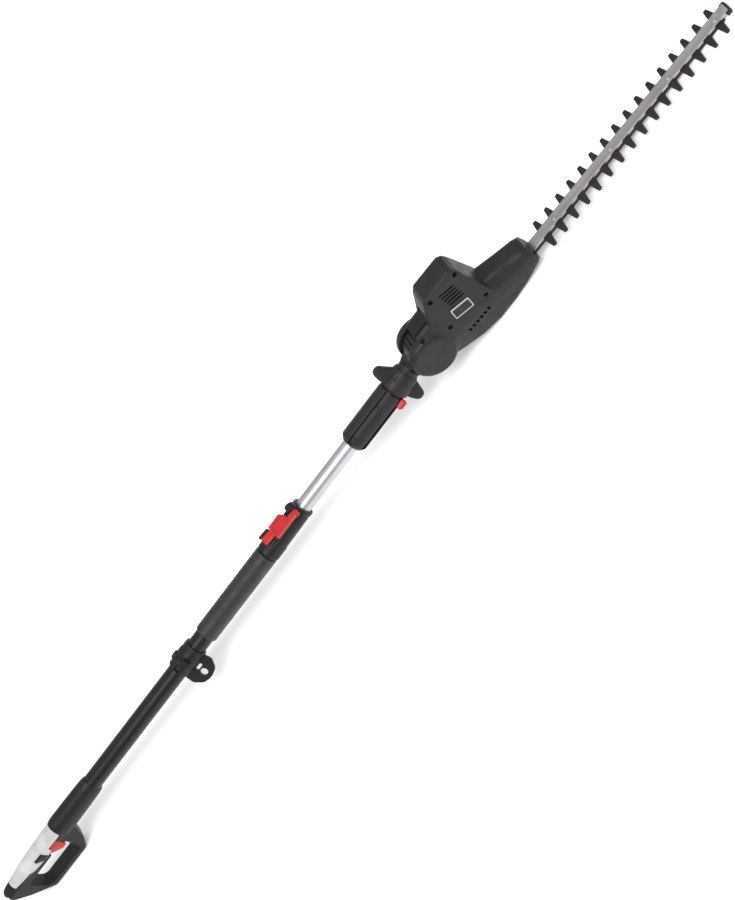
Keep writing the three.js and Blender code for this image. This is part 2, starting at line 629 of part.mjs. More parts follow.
const BASE_SECTIONS = [
  { x: 8, top: 41, bottom: -36, halfTop: 20, halfMid: 29, mid: 0, halfBottom: 19 },
  { x: 30, top: 42, bottom: -45, halfTop: 20, halfMid: 30, mid: 0, halfBottom: 20 },
  { x: 60, top: 42, bottom: -56, halfTop: 22, halfMid: 29, mid: 0, halfBottom: 21 },
  { x: 95, top: 34, bottom: -61, halfTop: 22, halfMid: 29, mid: -5, halfBottom: 22 },
  { x: 128, top: 8, bottom: -60, halfTop: 16, halfMid: 27, mid: -20, halfBottom: 22 },
  { x: 160, top: -3, bottom: -57, halfTop: 15, halfMid: 25, mid: -28, halfBottom: 21 },
  { x: 190, top: -14, bottom: -50.5, halfTop: 15, halfMid: 23.5, mid: -33, halfBottom: 20 },
  { x: 199, top: -20, bottom: -47.5, halfTop: 13, halfMid: 22, mid: -34, halfBottom: 19 },
];

const HUMP_SECTIONS = [
  { x: 33, top: 40, bottom: -10, halfTop: 20, halfMid: 29, mid: 5, halfBottom: 22 },
  { x: 58, top: 70, bottom: -10, halfTop: 20, halfMid: 29, mid: 5, halfBottom: 22 },
  { x: 66, top: 75.5, bottom: -10, halfTop: 20, halfMid: 29, mid: 5, halfBottom: 22 },
  { x: 117, top: 75.5, bottom: -10, halfTop: 20, halfMid: 28, mid: 3, halfBottom: 22 },
  { x: 124, top: 72, bottom: -10, halfTop: 19, halfMid: 27, mid: 0, halfBottom: 22 },
  { x: 127, top: 65, bottom: -10, halfTop: 17.5, halfMid: 26, mid: 0, halfBottom: 21 },
];

/** The head's inner space: the same sections drawn in by the wall. */
function innerSections(sections, xLow, xHigh) {
  return sections
    .filter(({ x }) => x > xLow && x < xHigh)
    .map((each) => section(each, HEAD_WALL));
}

const CHEEK_PROFILE = [
  [CHEEK_Y[0], 0], [CHEEK_Y[0], CHEEK_R], [23, CHEEK_R], [28, CHEEK_R - 2.6], [CHEEK_Y[1], CHEEK_R - 6.5],
  [CHEEK_Y[1], 0],
];

// Each casing screw: x, z, the y of its head's face, and the y of its point.
const HEAD_SCREWS = [
  [12, 33, -21.5, -16.5], [68, 67, -17, 11], [121, 64, -16, 11], [50, 14, -25, 11], [117, -2, -23.5, 11],
];
const SCREW_HEAD_R = 3.4;

/** Louvres, triangular vents and screw recesses cut through the casing's sides. */
function casingCuts() {
  const cuts = [];
  const slope = THREE.MathUtils.degToRad(14);
  for (let i = 0; i < 5; i += 1) {
    const louvre = box(-14, 14, -45, 45, -1.4, 1.4).rotateY(slope);
    cuts.push(solid(louvre.translate(94 - i * 0.6, 0, 60 - i * 6.4)));
  }
  for (let i = 0; i < 6; i += 1) {
    const x = 60 + i * 8.3;
    const vent = outline([[x - 2.4, -28], [x + 2.6, -25], [x - 2.4, -22]]);
    cuts.push(solid(slabXZ(vent, -45, 45)));
  }
  for (const [x, z, y] of HEAD_SCREWS) {
    cuts.push(solid(turned(rod(-45, y + 2.2, SCREW_HEAD_R + GAP), "y", SMALL_ROUND).translate(x, 0, z)));
  }
  return cuts;
}

function buildHeadCasing() {
  const cheek = (side) => {
    const profile = turned(CHEEK_PROFILE, "y", 36);
    return solid(side > 0 ? profile : profile.rotateX(Math.PI));
  };
  const outer = join(
    solid(loft(BASE_SECTIONS.map((each) => section(each, 0)))),
    solid(loft(HUMP_SECTIONS.map((each) => section(each, 0)))),
    cheek(-1),
    cheek(1),
  );
  const knuckleSpace = solid(turned(rod(-CHEEK_Y[0], CHEEK_Y[0], KNUCKLE_R + 1.7), "y", 36));
  const slot = join(
    knuckleSpace,
    solid(box(-60, 0, -CHEEK_Y[0], CHEEK_Y[0], -60, 60)),
    solid(box(0, 24, -CHEEK_Y[0], CHEEK_Y[0], -60, -10)),
    solid(box(-10, 46, -12.5, 12.5, 28, 60)),
  );
  const hollow = join(
    solid(loft(innerSections(BASE_SECTIONS, 40, 195))),
    solid(loft(innerSections(HUMP_SECTIONS, 50, 125))),
  );
  const boltHole = solid(turned(rod(-26, 40, 5.3), "y", SMALL_ROUND));
  const boltSeat = solid(turned(rod(25.7, 40, 9.5), "y", SMALL_ROUND + 4));
  const mouth = solid(box(180, 210, -BAR_HALF_Y - 6, BAR_HALF_Y + 6, -46.6, -39));
  const plateSeat = namePlate(GAP);
  const holes = [boltHole, boltSeat, mouth, rockerPinHole()];
  const casing = cut(outer, slot, hollow, plateSeat, ...holes, ...casingCuts());
  const posts = HEAD_SCREWS.slice(1).map(([x, z, y]) => {
    const post = solid(turned(rod(y - 1, 40, 4.6), "y", SMALL_ROUND).translate(x, 0, z));
    const bore = solid(turned(rod(-45, y + 2.2, SCREW_HEAD_R + GAP), "y", SMALL_ROUND).translate(x, 0, z));
    return cut(post, bore).intersect(outer);
  });
  const screwHoles = HEAD_SCREWS.map(([x, z, , point]) =>
    solid(turned(rod(-30, point + 1, 1.9), "y", SMALL_ROUND).translate(x, 0, z)),
  );
  const barTail = solid(box(170, 200, -BAR_HALF_Y - 1, BAR_HALF_Y + 1, -41.3, -37));
  const block = barBlock().intersect(outer);
  const whole = cut(join(casing, ...posts, block), ...screwHoles, barTail);
  place("head_shell_left", whole.intersect(halfSpace(-1)), GREY_PLASTIC, head);
  place("head_shell_right", whole.intersect(halfSpace(1)), GREY_PLASTIC, head);
  HEAD_SCREWS.forEach(([x, z, y, point], i) => {
    const screw = screwY(x, z, y, -1, SCREW_HEAD_R, 2, 1.6, point - y);
    place(`head_screw_${i + 1}`, screw, DARK_STEEL, head);
  });
}

/** The block inside the nose that grips the tail of the guide bar. */
function barBlock() {
  return solid(box(168, 192, -20, 20, -36.8, -16));
}

/** The blank plate on the left side of the head, drawn with growth all round. */
function namePlate(grow) {
  const tilt = THREE.MathUtils.degToRad(17);
  const plate = box(-16 - grow, 16 + grow, -1.2 - grow, 6, -10 - grow, 10 + grow);
  return solid(plate.rotateX(-0.05).rotateY(tilt).translate(84, -28.7, 17.5));
}

function buildNamePlate() {
  const tilt = THREE.MathUtils.degToRad(17);
  const plate = box(-16, 16, -1.2, 0.8, -10, 10);
  place("name_plate", plate.rotateX(-0.05).rotateY(tilt).translate(84, -28.7, 17.5), PALE_PLASTIC, head);
}

const ROCKER_PIVOT = [27, 37];

const rockerPinHole = () =>
  solid(turned(rod(-17, 17, 1.9), "y", SMALL_ROUND).translate(ROCKER_PIVOT[0], 0, ROCKER_PIVOT[1]));

/** The tilt release: a rocker whose tooth sits in the knuckle's notches. */
function buildTiltRelease() {
  const [px, pz] = ROCKER_PIVOT;
  const side = outline([
    [px - 20, 42.5, 2], [px - 20, 40], [px - 17.4, 38.4], [px - 17.9, 31.5], [px - 15.6, 31.5],
    [px - 12.5, 37.4], [px - 5, 35.6], [px, 33.6, 2], [px + 5, 35.6], [px + 16, 41, 2], [px + 17, 45, 2],
  ]);
  const rocker = solid(slabXZ(side, -11.8, 11.8, 3));
  const bore = solid(turned(rod(-20, 20, 1.9), "y", SMALL_ROUND).translate(px, 0, pz));
  place("tilt_rocker", cut(rocker, bore), BLACK_PLASTIC, head);
  place("rocker_pin", turned(rod(-16.5, 16.5, 1.6), "y", SMALL_ROUND).translate(px, 0, pz), STEEL, head);
}

function buildHingeBolt() {
  const profile = [[-25, 0], [-25, 5], [26, 5], [26, 9.2], [29.5, 9.2], [29.5, 0]];
  place("hinge_bolt", turned(profile, "y", SMALL_ROUND + 4), STEEL, head);
}

// ---- Drive --------------------------------------------------------------------------------

/** A spur gear outline about (x, 0) with one tooth, or one gap, on the -X or +X side. */
function gearOutline(x, teeth, phase) {
  const pitchR = (GEAR_MODULE * teeth) / 2;
  const [rootR, tipR] = [pitchR - GEAR_MODULE * 1.35, pitchR + GEAR_MODULE * 0.85];
  const step = (Math.PI * 2) / teeth;
  const corners = [];
  for (let i = 0; i < teeth; i += 1) {
    const middle = phase + i * step;
    for (const [offset, radius] of [[-0.3, rootR], [-0.11, tipR], [0.11, tipR], [0.3, rootR]]) {
      const angle = middle + offset * step;
      corners.push([x + radius * Math.cos(angle), radius * Math.sin(angle)]);
    }
  }
  return outline(corners);
}

function buildDrive() {
  const can = turned([
    [0, 6], [0, 17], [3, 19.5], [50, 19.5], [53, 17], [53, 6], [50, 6], [50, 17], [3, 17], [3, 6], [0, 6],
  ], "z");
  place("motor_can", can.translate(MOTOR_X, 0, 0), DARK_STEEL, head);
  const shaft = solid(turned(rod(-30, 66, 3), "z", SMALL_ROUND));
  const core = solid(turned(rod(9, 44, 15.5), "z"));
  const pinion = solid(slabXY(gearOutline(0, PINION_TEETH, 0), GEAR_Z[0], GEAR_Z[1] + 2));
  place("armature", join(shaft, core, pinion).translate([MOTOR_X, 0, 0]), COPPER, head);
  const blades = [];
  for (let i = 0; i < 7; i += 1) {
    blades.push(solid(box(3.5, 14, -0.7, 0.7, 58, 64).rotateZ((i * Math.PI * 2) / 7)));
  }
  const hub = solid(turned(sleeve(57, 64, 3 + GAP, 5), "z", SMALL_ROUND));
  const disc = solid(turned(sleeve(57, 58.5, 3 + GAP, 14.5), "z"));
  const bore = solid(turned(rod(50, 70, 3 + GAP), "z", SMALL_ROUND));
  place("cooling_fan", cut(join(hub, disc, ...blades), bore).translate([MOTOR_X, 0, 0]), BLACK_PLASTIC, head);

  const wheel = solid(slabXY(gearOutline(0, GEAR_TEETH, Math.PI / GEAR_TEETH), ...GEAR_Z));
  const [gearLow] = GEAR_Z;
  const cam = (low, high, y) => turned(rod(low, high, ECCENTRIC_R), "z").translate(0, y, 0);
  const upperCam = cam(UPPER_BLADE_Z + 0.2, gearLow + 1, ECCENTRICITY);
  const lowerCam = cam(LOWER_BLADE_Z, UPPER_BLADE_Z + 0.1, -ECCENTRICITY);
  const bridge = turned(rod(LOWER_BLADE_Z + 1, gearLow + 1, 3.8), "z", SMALL_ROUND);
  const axleBore = solid(turned(rod(-70, 0, 2.5), "z", SMALL_ROUND));
  const gear = cut(join(wheel, solid(upperCam), solid(lowerCam), solid(bridge)), axleBore);
  place("drive_gear", gear.translate([GEAR_X, 0, 0]), STEEL, head);
  place("gear_axle", turned(rod(-52, -18, 2.2), "z", SMALL_ROUND).translate(GEAR_X, 0, 0), STEEL, head);
}

// ---- Cutter -------------------------------------------------------------------------------

const YOKE_HALF_X = ECCENTRIC_R + 2 * ECCENTRICITY + 1.2;
const YOKE_HALF_Y = ECCENTRIC_R + ECCENTRICITY + 0.8;
const YOKE_RIM_X = 3;
const YOKE_RIM_Y = 2.6;
const TOOTH_ROOT_HALF_X = 6.4;
const TOOTH_TIP_HALF_X = 3.1;
const TOOTH_ROUND = 2.2;

/** One double-sided blade with its drive yoke, in plan. */
function bladeOutline() {
  const lastTooth = FIRST_TOOTH_X + (TOOTH_COUNT - 1) * TOOTH_PITCH;
  const end = lastTooth + TOOTH_ROOT_HALF_X + 4;
  const yokeEnd = GEAR_X + YOKE_HALF_X + YOKE_RIM_X;
  const near = [];
  for (let i = 0; i < TOOTH_COUNT; i += 1) {
    const x = FIRST_TOOTH_X + i * TOOTH_PITCH;
    near.push([x - TOOTH_ROOT_HALF_X, -SPINE_HALF_Y], [x - TOOTH_TIP_HALF_X, -TOOTH_TIP_Y, TOOTH_ROUND]);
    near.push([x + TOOTH_TIP_HALF_X, -TOOTH_TIP_Y, TOOTH_ROUND], [x + TOOTH_ROOT_HALF_X, -SPINE_HALF_Y]);
  }
  const far = near.map(([x, y, ...round]) => [x, -y, ...round]).reverse();
  const rear = GEAR_X - YOKE_HALF_X - YOKE_RIM_X;
  const wide = YOKE_HALF_Y + YOKE_RIM_Y;
  const shape = outline([
    [rear, -wide], [yokeEnd, -wide], [yokeEnd + 8, -SPINE_HALF_Y], ...near, [end, -SPINE_HALF_Y],
    [end, SPINE_HALF_Y], ...far, [yokeEnd + 8, SPINE_HALF_Y], [yokeEnd, wide], [rear, wide],
  ]);
  const window = outline([
    [GEAR_X - YOKE_HALF_X, -YOKE_HALF_Y], [GEAR_X - YOKE_HALF_X, YOKE_HALF_Y],
    [GEAR_X + YOKE_HALF_X, YOKE_HALF_Y], [GEAR_X + YOKE_HALF_X, -YOKE_HALF_Y],
  ]);
  shape.holes.push(window);
  for (const x of BLADE_BOLT_X) shape.holes.push(slotHole(x, 0, 9 + 2 * ECCENTRICITY, 8));
  return shape;
}

function buildCutter() {
  const blade = bladeOutline();
  place("upper_blade", slabXY(blade, UPPER_BLADE_Z, UPPER_BLADE_Z + BLADE_T, 1), DARK_STEEL, head);
  place("lower_blade", slabXY(blade, LOWER_BLADE_Z, LOWER_BLADE_Z + BLADE_T, 1), DARK_STEEL, head);
  const barLow = UPPER_BLADE_Z + BLADE_T + GAP;
  const [rear, front] = BAR_X;
  const bar = outline([[rear, -BAR_HALF_Y], [front, -BAR_HALF_Y], [front, BAR_HALF_Y], [rear, BAR_HALF_Y]]);
  for (const x of BLADE_BOLT_X) bar.holes.push(roundHole(x, 0, 3.9));
  place("guide_bar", slabXY(bar, barLow, barLow + BAR_T, 3), STEEL, head);
  const barTop = barLow + BAR_T;
  BLADE_BOLT_X.forEach((x, i) => {
    const bolt = [
      [LOWER_BLADE_Z - 1.2, 0], [LOWER_BLADE_Z - 1.2, 3], [barTop + GAP, 3], [barTop + GAP, 5.4],
      [barTop + 2.2, 4.6], [barTop + 2.6, 0],
    ];
    place(`blade_bolt_${i + 1}`, turned(bolt, "z", SMALL_ROUND).translate(x, 0, 0), STEEL, head);
  });
  buildTipGuard(front, barLow, barTop);
}

/** The plastic cap over the end of the guide bar, with its foot under the blades' end. */
function buildTipGuard(front, barLow, barTop) {
  const cap = solid(slabXY(outline([
    [front - 9, -12], [front + 1, -12], [front + 6, -7, 4],
    [front + 6, 7, 4], [front + 1, 12], [front - 9, 12],
  ]), LOWER_BLADE_Z - 0.1, barTop + 1.6));
  const barSpace = solid(box(
    front - 30, front + GAP, -BAR_HALF_Y - GAP, BAR_HALF_Y + GAP, barLow - GAP, barTop + GAP,
  ));
  place("tip_guard", cut(cap, barSpace), BLACK_PLASTIC, head);
}

// ---- Assembly -----------------------------------------------------------------------------

buildHandle();
buildTrigger();
buildInlet();
buildLowerPole();
buildStrapBracket();
buildClamp();
buildUpperPole();
buildCoupling();
buildReleaseCollar();
buildNeck();
buildHeadCasing();
buildNamePlate();
buildTiltRelease();
buildHingeBolt();
buildDrive();
buildCutter();

// The origin is the middle of the footprint, on the surface that the trimmer lies on.
trimmer.updateMatrixWorld(true);
const extent = new THREE.Box3().setFromObject(trimmer, true);
const part = new THREE.Group();
part.add(trimmer);
trimmer.position.set(-(extent.min.x + extent.max.x) / 2, 0, -extent.min.z);

export default part;
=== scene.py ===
"""Pole hedge trimmer: the look of every piece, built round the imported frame.

Shapes are drawn in millimetres in one of two sets of axes, both with their origin at the tilt hinge on
the pole's axis: POLE, along the pole, and HEAD, which droops a little from it. +X runs to the cutter's
tip, +Z is up, and the lug, lever and name plate are on the -Y side. The strap bracket, clamp, coupling
and release collar are drawn upright and then turned about the pole.
"""
import json
import math

import bmesh
import bpy
from mathutils import Matrix, Vector, noise


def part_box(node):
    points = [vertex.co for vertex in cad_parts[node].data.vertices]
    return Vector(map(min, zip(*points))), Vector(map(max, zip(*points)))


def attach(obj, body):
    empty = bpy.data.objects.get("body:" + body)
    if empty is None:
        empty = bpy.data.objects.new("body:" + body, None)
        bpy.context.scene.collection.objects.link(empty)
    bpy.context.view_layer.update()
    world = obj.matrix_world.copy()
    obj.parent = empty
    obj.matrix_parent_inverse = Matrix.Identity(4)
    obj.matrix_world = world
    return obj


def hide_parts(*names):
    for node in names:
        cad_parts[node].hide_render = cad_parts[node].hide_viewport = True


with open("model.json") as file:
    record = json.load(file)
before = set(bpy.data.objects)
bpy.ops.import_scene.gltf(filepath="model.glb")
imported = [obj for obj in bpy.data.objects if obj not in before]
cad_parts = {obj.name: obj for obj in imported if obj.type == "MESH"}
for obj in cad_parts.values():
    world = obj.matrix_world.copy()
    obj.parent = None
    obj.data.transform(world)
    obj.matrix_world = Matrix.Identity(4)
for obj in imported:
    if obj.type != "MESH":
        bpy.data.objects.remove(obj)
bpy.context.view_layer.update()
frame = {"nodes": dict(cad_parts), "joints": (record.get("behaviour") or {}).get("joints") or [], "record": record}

# ---- Axes ---------------------------------------------------------------------------------

MM = 0.001
JOINTS = {joint["name"]: joint for joint in frame["joints"]}
HINGE = Vector(JOINTS["head_tilt"]["pos_m"])
BLADE_AXIS = Vector(JOINTS["upper_blade"]["axis"])
DROOP = math.atan2(-BLADE_AXIS.z, BLADE_AXIS.x)
POLE = Matrix.Translation(HINGE) @ Matrix.Scale(MM, 4)
HEAD = Matrix.Translation(HINGE) @ Matrix.Rotation(DROOP, 4, "Y") @ Matrix.Scale(MM, 4)


def at_angle(degrees):
    """A turn about the pole; a positive angle lifts the -Y side."""
    return Matrix.Rotation(math.radians(-degrees), 4, "X")


def placed(x=0, y=0, z=0):
    return Matrix.Translation((x, y, z))


def span(node):
    """Lowest and highest corner of a CAD node in millimetres from the hinge."""
    low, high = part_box(node)
    return (low - HINGE) / MM, (high - HINGE) / MM


# ---- Flat outlines ------------------------------------------------------------------------

ARC_STEP = math.radians(10)


def rounded(corners):
    """A closed outline from (a, b) or (a, b, radius) corners, with an arc at each rounded corner."""
    points = []
    count = len(corners)
    for i, (a, b, *more) in enumerate(corners):
        here = Vector((a, b))
        if not more:
            points.append(here)
            continue
        before = Vector(corners[i - 1][:2]) - here
        after = Vector(corners[(i + 1) % count][:2]) - here
        half = before.angle(after) / 2
        reach = min(more[0] / math.tan(half), before.length * 0.49, after.length * 0.49)
        radius = reach * math.tan(half)
        centre = here + (before.normalized() + after.normalized()).normalized() * radius / math.sin(half)
        first = here + before.normalized() * reach - centre
        last = here + after.normalized() * reach - centre
        turn = first.angle_signed(last)
        steps = max(2, math.ceil(abs(turn) / ARC_STEP))
        for k in range(steps + 1):
            points.append(centre + Matrix.Rotation(-turn * k / steps, 2) @ first)
    return points


def circle(a, b, radius, steps=28):
    angles = (2 * math.pi * k / steps for k in range(steps))
    return [Vector((a + radius * math.cos(t), b + radius * math.sin(t))) for t in angles]


def slot_outline(a, b, length, width):
    """A slot with round ends, centred on (a, b)."""
    half, side = length / 2, width / 2
    end = width / 2.01  # a hair under the half-width, which keeps the two arcs of an end apart
    return rounded([
        (a - half, b - side, end), (a + half, b - side, end),
        (a + half, b + side, end), (a - half, b + side, end),
    ])


def straight(*corners):
    """A closed outline with sharp corners."""
    return [Vector(corner) for corner in corners]


# ---- Solids as bmeshes --------------------------------------------------------------------

TO_AXIS = {
    "x": Matrix.Identity(4),
    "y": Matrix.Rotation(math.radians(90), 4, "Z"),
    "z": Matrix.Rotation(math.radians(-90), 4, "Y"),
}
TO_PLANE = {
    "xy": Matrix.Identity(4),
    "xz": Matrix(((1, 0, 0, 0), (0, 0, 1, 0), (0, 1, 0, 0), (0, 0, 0, 1))),
    "yz": Matrix(((0, 0, 1, 0), (1, 0, 0, 0), (0, 1, 0, 0), (0, 0, 0, 1))),
}


def outward(bm):
    """Turn every face of a closed shell outwards."""
    bmesh.ops.recalc_face_normals(bm, faces=bm.faces)
    if bm.calc_volume(signed=True) < 0:
        bmesh.ops.reverse_faces(bm, faces=bm.faces)
    return bm


def lathe(profile, axis="x", turns=96):
    """A profile of (along, radius) points turned about an axis; ends off the axis join to each other."""
    bm = bmesh.new()
    rings = []
    for along, radius in profile:
        steps = turns if radius > 1e-6 else 1
        angles = [2 * math.pi * k / steps for k in range(steps)]
        rings.append([bm.verts.new((along, radius * math.cos(t), radius * math.sin(t))) for t in angles])
    pairs = list(zip(rings, rings[1:]))
    if profile[0][1] > 1e-6:
        pairs.append((rings[-1], rings[0]))
    for low, high in pairs:
        for i in range(turns):
            corners = [low[i % len(low)], low[(i + 1) % turns % len(low)]]
            corners += [high[(i + 1) % turns % len(high)], high[i % len(high)]]
            corners = list(dict.fromkeys(corners))
            if len(corners) > 2:
                bm.faces.new(corners)
    bm.transform(TO_AXIS[axis])
    return outward(bm)


def rod(low, high, radius, axis="x", edge=0.4, turns=48):
    """A round bar with a small chamfer at each end."""
    return lathe([
        (low, 0), (low, radius - edge), (low + edge, radius),
        (high - edge, radius), (high, radius - edge), (high, 0),
    ], axis, turns)


def sleeve(low, high, inner, outer, edge=0.5):
    """A round tube with a small chamfer at each outer end."""
    return lathe([
        (low, inner), (low, outer - edge), (low + edge, outer), (high - edge, outer), (high, outer - edge),
        (high, inner),
    ])


def prism(loop, low, high, plane="xz", holes=()):
    """A flat outline, with any holes, given thickness across its plane."""
    bm = bmesh.new()
    edges = []
    for ring in (loop, *holes):
        verts = [bm.verts.new((a, b, low)) for a, b in ring]
        edges += [bm.edges.new(pair) for pair in zip(verts, verts[1:] + verts[:1])]
    bmesh.ops.triangle_fill(bm, use_beauty=True, use_dissolve=False, edges=edges)
    bmesh.ops.dissolve_limit(bm, angle_limit=0.01, verts=bm.verts, edges=bm.edges)
    grown = bmesh.ops.extrude_face_region(bm, geom=bm.faces[:])["geom"]
    raised = [each for each in grown if isinstance(each, bmesh.types.BMVert)]
    bmesh.ops.translate(bm, verts=raised, vec=(0, 0, high - low))
    bm.transform(TO_PLANE[plane])
    return outward(bm)


def block(x, y, z):
    """A box from three (low, high) pairs."""
    return prism(straight((x[0], y[0]), (x[1], y[0]), (x[1], y[1]), (x[0], y[1])), *z, plane="xy")


def moved(bm, matrix):
    bm.transform(matrix)
    return bm


def scratch(bm):
    """A temporary object holding a bmesh."""
    mesh = bpy.data.meshes.new("scratch")
    bm.to_mesh(mesh)
    bm.free()
    obj = bpy.data.objects.new("scratch", mesh)
    bpy.context.scene.collection.objects.link(obj)
    return obj


def drop(obj):
    mesh = obj.data
    bpy.data.objects.remove(obj)
    bpy.data.meshes.remove(mesh)


def worked(bm, *steps):
    """A bmesh after modifiers; each step is (type, settings)."""
    obj = scratch(bm)
    for kind, settings in steps:
        modifier = obj.modifiers.new(kind.lower(), kind)
        for key, value in settings.items():
            setattr(modifier, key, value)
    graph = bpy.context.evaluated_depsgraph_get()
    mesh = bpy.data.meshes.new_from_object(obj.evaluated_get(graph), depsgraph=graph)
    made = bmesh.new()
    made.from_mesh(mesh)
    bpy.data.meshes.remove(mesh)
    drop(obj)
    return made


def combined(bm, other, operation):
    tool = scratch(other)
    made = worked(bm, ("BOOLEAN", {"object": tool, "operation": operation, "solver": "MANIFOLD"}))
    drop(tool)
    return made


def carved(bm, *cutters):
    """bm less every cutter."""
    for cutter in cutters:
        bm = combined(bm, cutter, "DIFFERENCE")
    return bm


def gathered(*forms):
    """Several bmeshes in one, still as separate shells."""
    whole = bmesh.new()
    for form in forms:
        mesh = bpy.data.meshes.new("form")
        form.to_mesh(mesh)
        form.free()
        whole.from_mesh(mesh)
        bpy.data.meshes.remove(mesh)
    return whole


def fused(*forms, voxel=0.8, smoothing=6):
    """Overlapping forms melted into one moulded skin with soft edges."""
    return worked(
        gathered(*forms),
        ("REMESH", {"mode": "VOXEL", "voxel_size": voxel}),
        ("SMOOTH", {"factor": 0.5, "iterations": smoothing}),
    )


def eased(bm, width=0.5, segments=2, clamp=True):
    """Sharp edges rounded over; without the clamp, only for forms that are fused afterwards."""
    return worked(bm, ("BEVEL", {
        "width": width, "segments": segments, "limit_method": "ANGLE", "angle_limit": math.radians(38),
        "use_clamp_overlap": clamp,
    }))


REACH = 1500  # further from the hinge than any part
SEAM = 0.12  # half of the gap between two casing halves


def half_of(bm, side):
    """The part of a casing on one side (-1 or 1) of the X-Z plane; the casing itself stays whole."""
    reach = (SEAM, REACH) if side > 0 else (-REACH, -SEAM)
    return combined(bm.copy(), block((-REACH, REACH), reach, (-REACH, REACH)), "INTERSECT")


# ---- Materials ----------------------------------------------------------------------------

SHADE = {}


class Nodes:
    """A small helper that wires a material's nodes."""

    def __init__(self, name):
        self.material = bpy.data.materials.new(name)
        self.material.use_nodes = True
        self.tree = self.material.node_tree
        self.shader = self.tree.nodes["Principled BSDF"]
        self.place = self.add("ShaderNodeTexCoord").outputs["Object"]

    def add(self, kind, **settings):
        node = self.tree.nodes.new(kind)
        for key, value in settings.items():
            setattr(node, key, value)
        return node

    def link(self, output, socket):
        self.tree.links.new(output, socket)

    def noise(self, scale, detail=3.0, stretch=(1, 1, 1)):
        """Noise from 0 to 1; scale is in features per metre, stretch squeezes it along each axis."""
        mapping = self.add("ShaderNodeMapping")
        mapping.inputs["Scale"].default_value = stretch
        self.link(self.place, mapping.inputs["Vector"])
        texture = self.add("ShaderNodeTexNoise")
        texture.inputs["Scale"].default_value = scale
        texture.inputs["Detail"].default_value = detail
        self.link(mapping.outputs["Vector"], texture.inputs["Vector"])
        return texture.outputs["Fac"]

    def range(self, value, low, high, out_low, out_high):
        """A value from low..high brought to out_low..out_high."""
        node = self.add("ShaderNodeMapRange")
        ends = {"From Min": low, "From Max": high, "To Min": out_low, "To Max": out_high}
        for socket, number in ends.items():
            node.inputs[socket].default_value = number
        self.link(value, node.inputs["Value"])
        return node.outputs["Result"]

    def mix(self, factor, first, second):
        """A colour mix; each colour is an (r, g, b) or another node's output."""
        node = self.add("ShaderNodeMix", data_type="RGBA")
        self.link(factor, node.inputs["Factor"])
        for socket, colour in ((node.inputs[6], first), (node.inputs[7], second)):
            if isinstance(colour, tuple):
                socket.default_value = (*colour, 1)
            else:
                self.link(colour, socket)
        return node.outputs[2]

    def edges(self, low=0.55, high=0.68):
        """1 on worn convex edges and 0 on flats."""
        return self.range(self.add("ShaderNodeNewGeometry").outputs["Pointiness"], low, high, 0, 1)

    def times(self, first, second):
        node = self.add("ShaderNodeMath", operation="MULTIPLY")
        self.link(first, node.inputs[0])
        self.link(second, node.inputs[1])
        return node.outputs["Value"]

    def bump(self, height, strength, distance):
        node = self.add("ShaderNodeBump")
        node.inputs["Strength"].default_value = strength
        node.inputs["Distance"].default_value = distance
        self.link(height, node.inputs["Height"])
        return node.outputs["Normal"]


def srgb(red, green, blue):
    """An 8-bit display colour, each channel above 10, as linear light."""
    return tuple(((c / 255 + 0.055) / 1.055) ** 2.4 for c in (red, green, blue))


PLASTIC_GRAIN = 2200


def plastic(name, colour, roughness, relief=0.18, wear=0.35, shine=0.3):
    """Moulded plastic: spark-textured skin, cloudy gloss and slightly rubbed edges."""
    nodes = Nodes(name)
    tone = nodes.mix(
        nodes.range(nodes.noise(38, 4), 0.35, 0.65, 0, 1),
        tuple(c * 0.88 for c in colour), tuple(c * 1.12 for c in colour),
    )
    rubbed = nodes.times(nodes.edges(), nodes.range(nodes.noise(160), 0.4, 0.7, 0, wear))
    pale = tuple(c + (0.35 - c) * 0.28 for c in colour)
    nodes.link(nodes.mix(rubbed, tone, pale), nodes.shader.inputs["Base Color"])
    gloss = nodes.range(nodes.noise(70, 5), 0.3, 0.7, roughness - 0.07, roughness + 0.09)
    nodes.link(gloss, nodes.shader.inputs["Roughness"])
    nodes.link(nodes.bump(nodes.noise(PLASTIC_GRAIN, 2), relief, 0.00012), nodes.shader.inputs["Normal"])
    nodes.shader.inputs["Specular IOR Level"].default_value = shine
    return nodes.material


ALONG_X = (3, 90, 90)
ALONG_Z = (90, 90, 3)


def drawn_metal(name, colour, roughness, stretch=ALONG_X, relief=0.06, metallic=1.0, wear=0.3, shine=0.5):
    """Metal or paint with fine lines from drawing or grinding, faint stains and brighter edges."""
    nodes = Nodes(name)
    lines = nodes.noise(30, 5, stretch)
    stain = nodes.range(nodes.noise(25, 4), 0.35, 0.7, 0, 1)
    tone = nodes.mix(stain, colour, tuple(c * 0.86 for c in colour))
    rubbed = nodes.times(nodes.edges(), nodes.range(nodes.noise(240), 0.35, 0.7, 0, wear))
    bright = tuple(min(1.0, c + 0.25) for c in colour)
    nodes.link(nodes.mix(rubbed, tone, bright), nodes.shader.inputs["Base Color"])
    gloss = nodes.range(lines, 0.3, 0.7, roughness - 0.07, roughness + 0.12)
    nodes.link(gloss, nodes.shader.inputs["Roughness"])
    nodes.link(nodes.bump(lines, relief, 0.0001), nodes.shader.inputs["Normal"])
    nodes.shader.inputs["Metallic"].default_value = metallic
    nodes.shader.inputs["Specular IOR Level"].default_value = shine
    return nodes.material


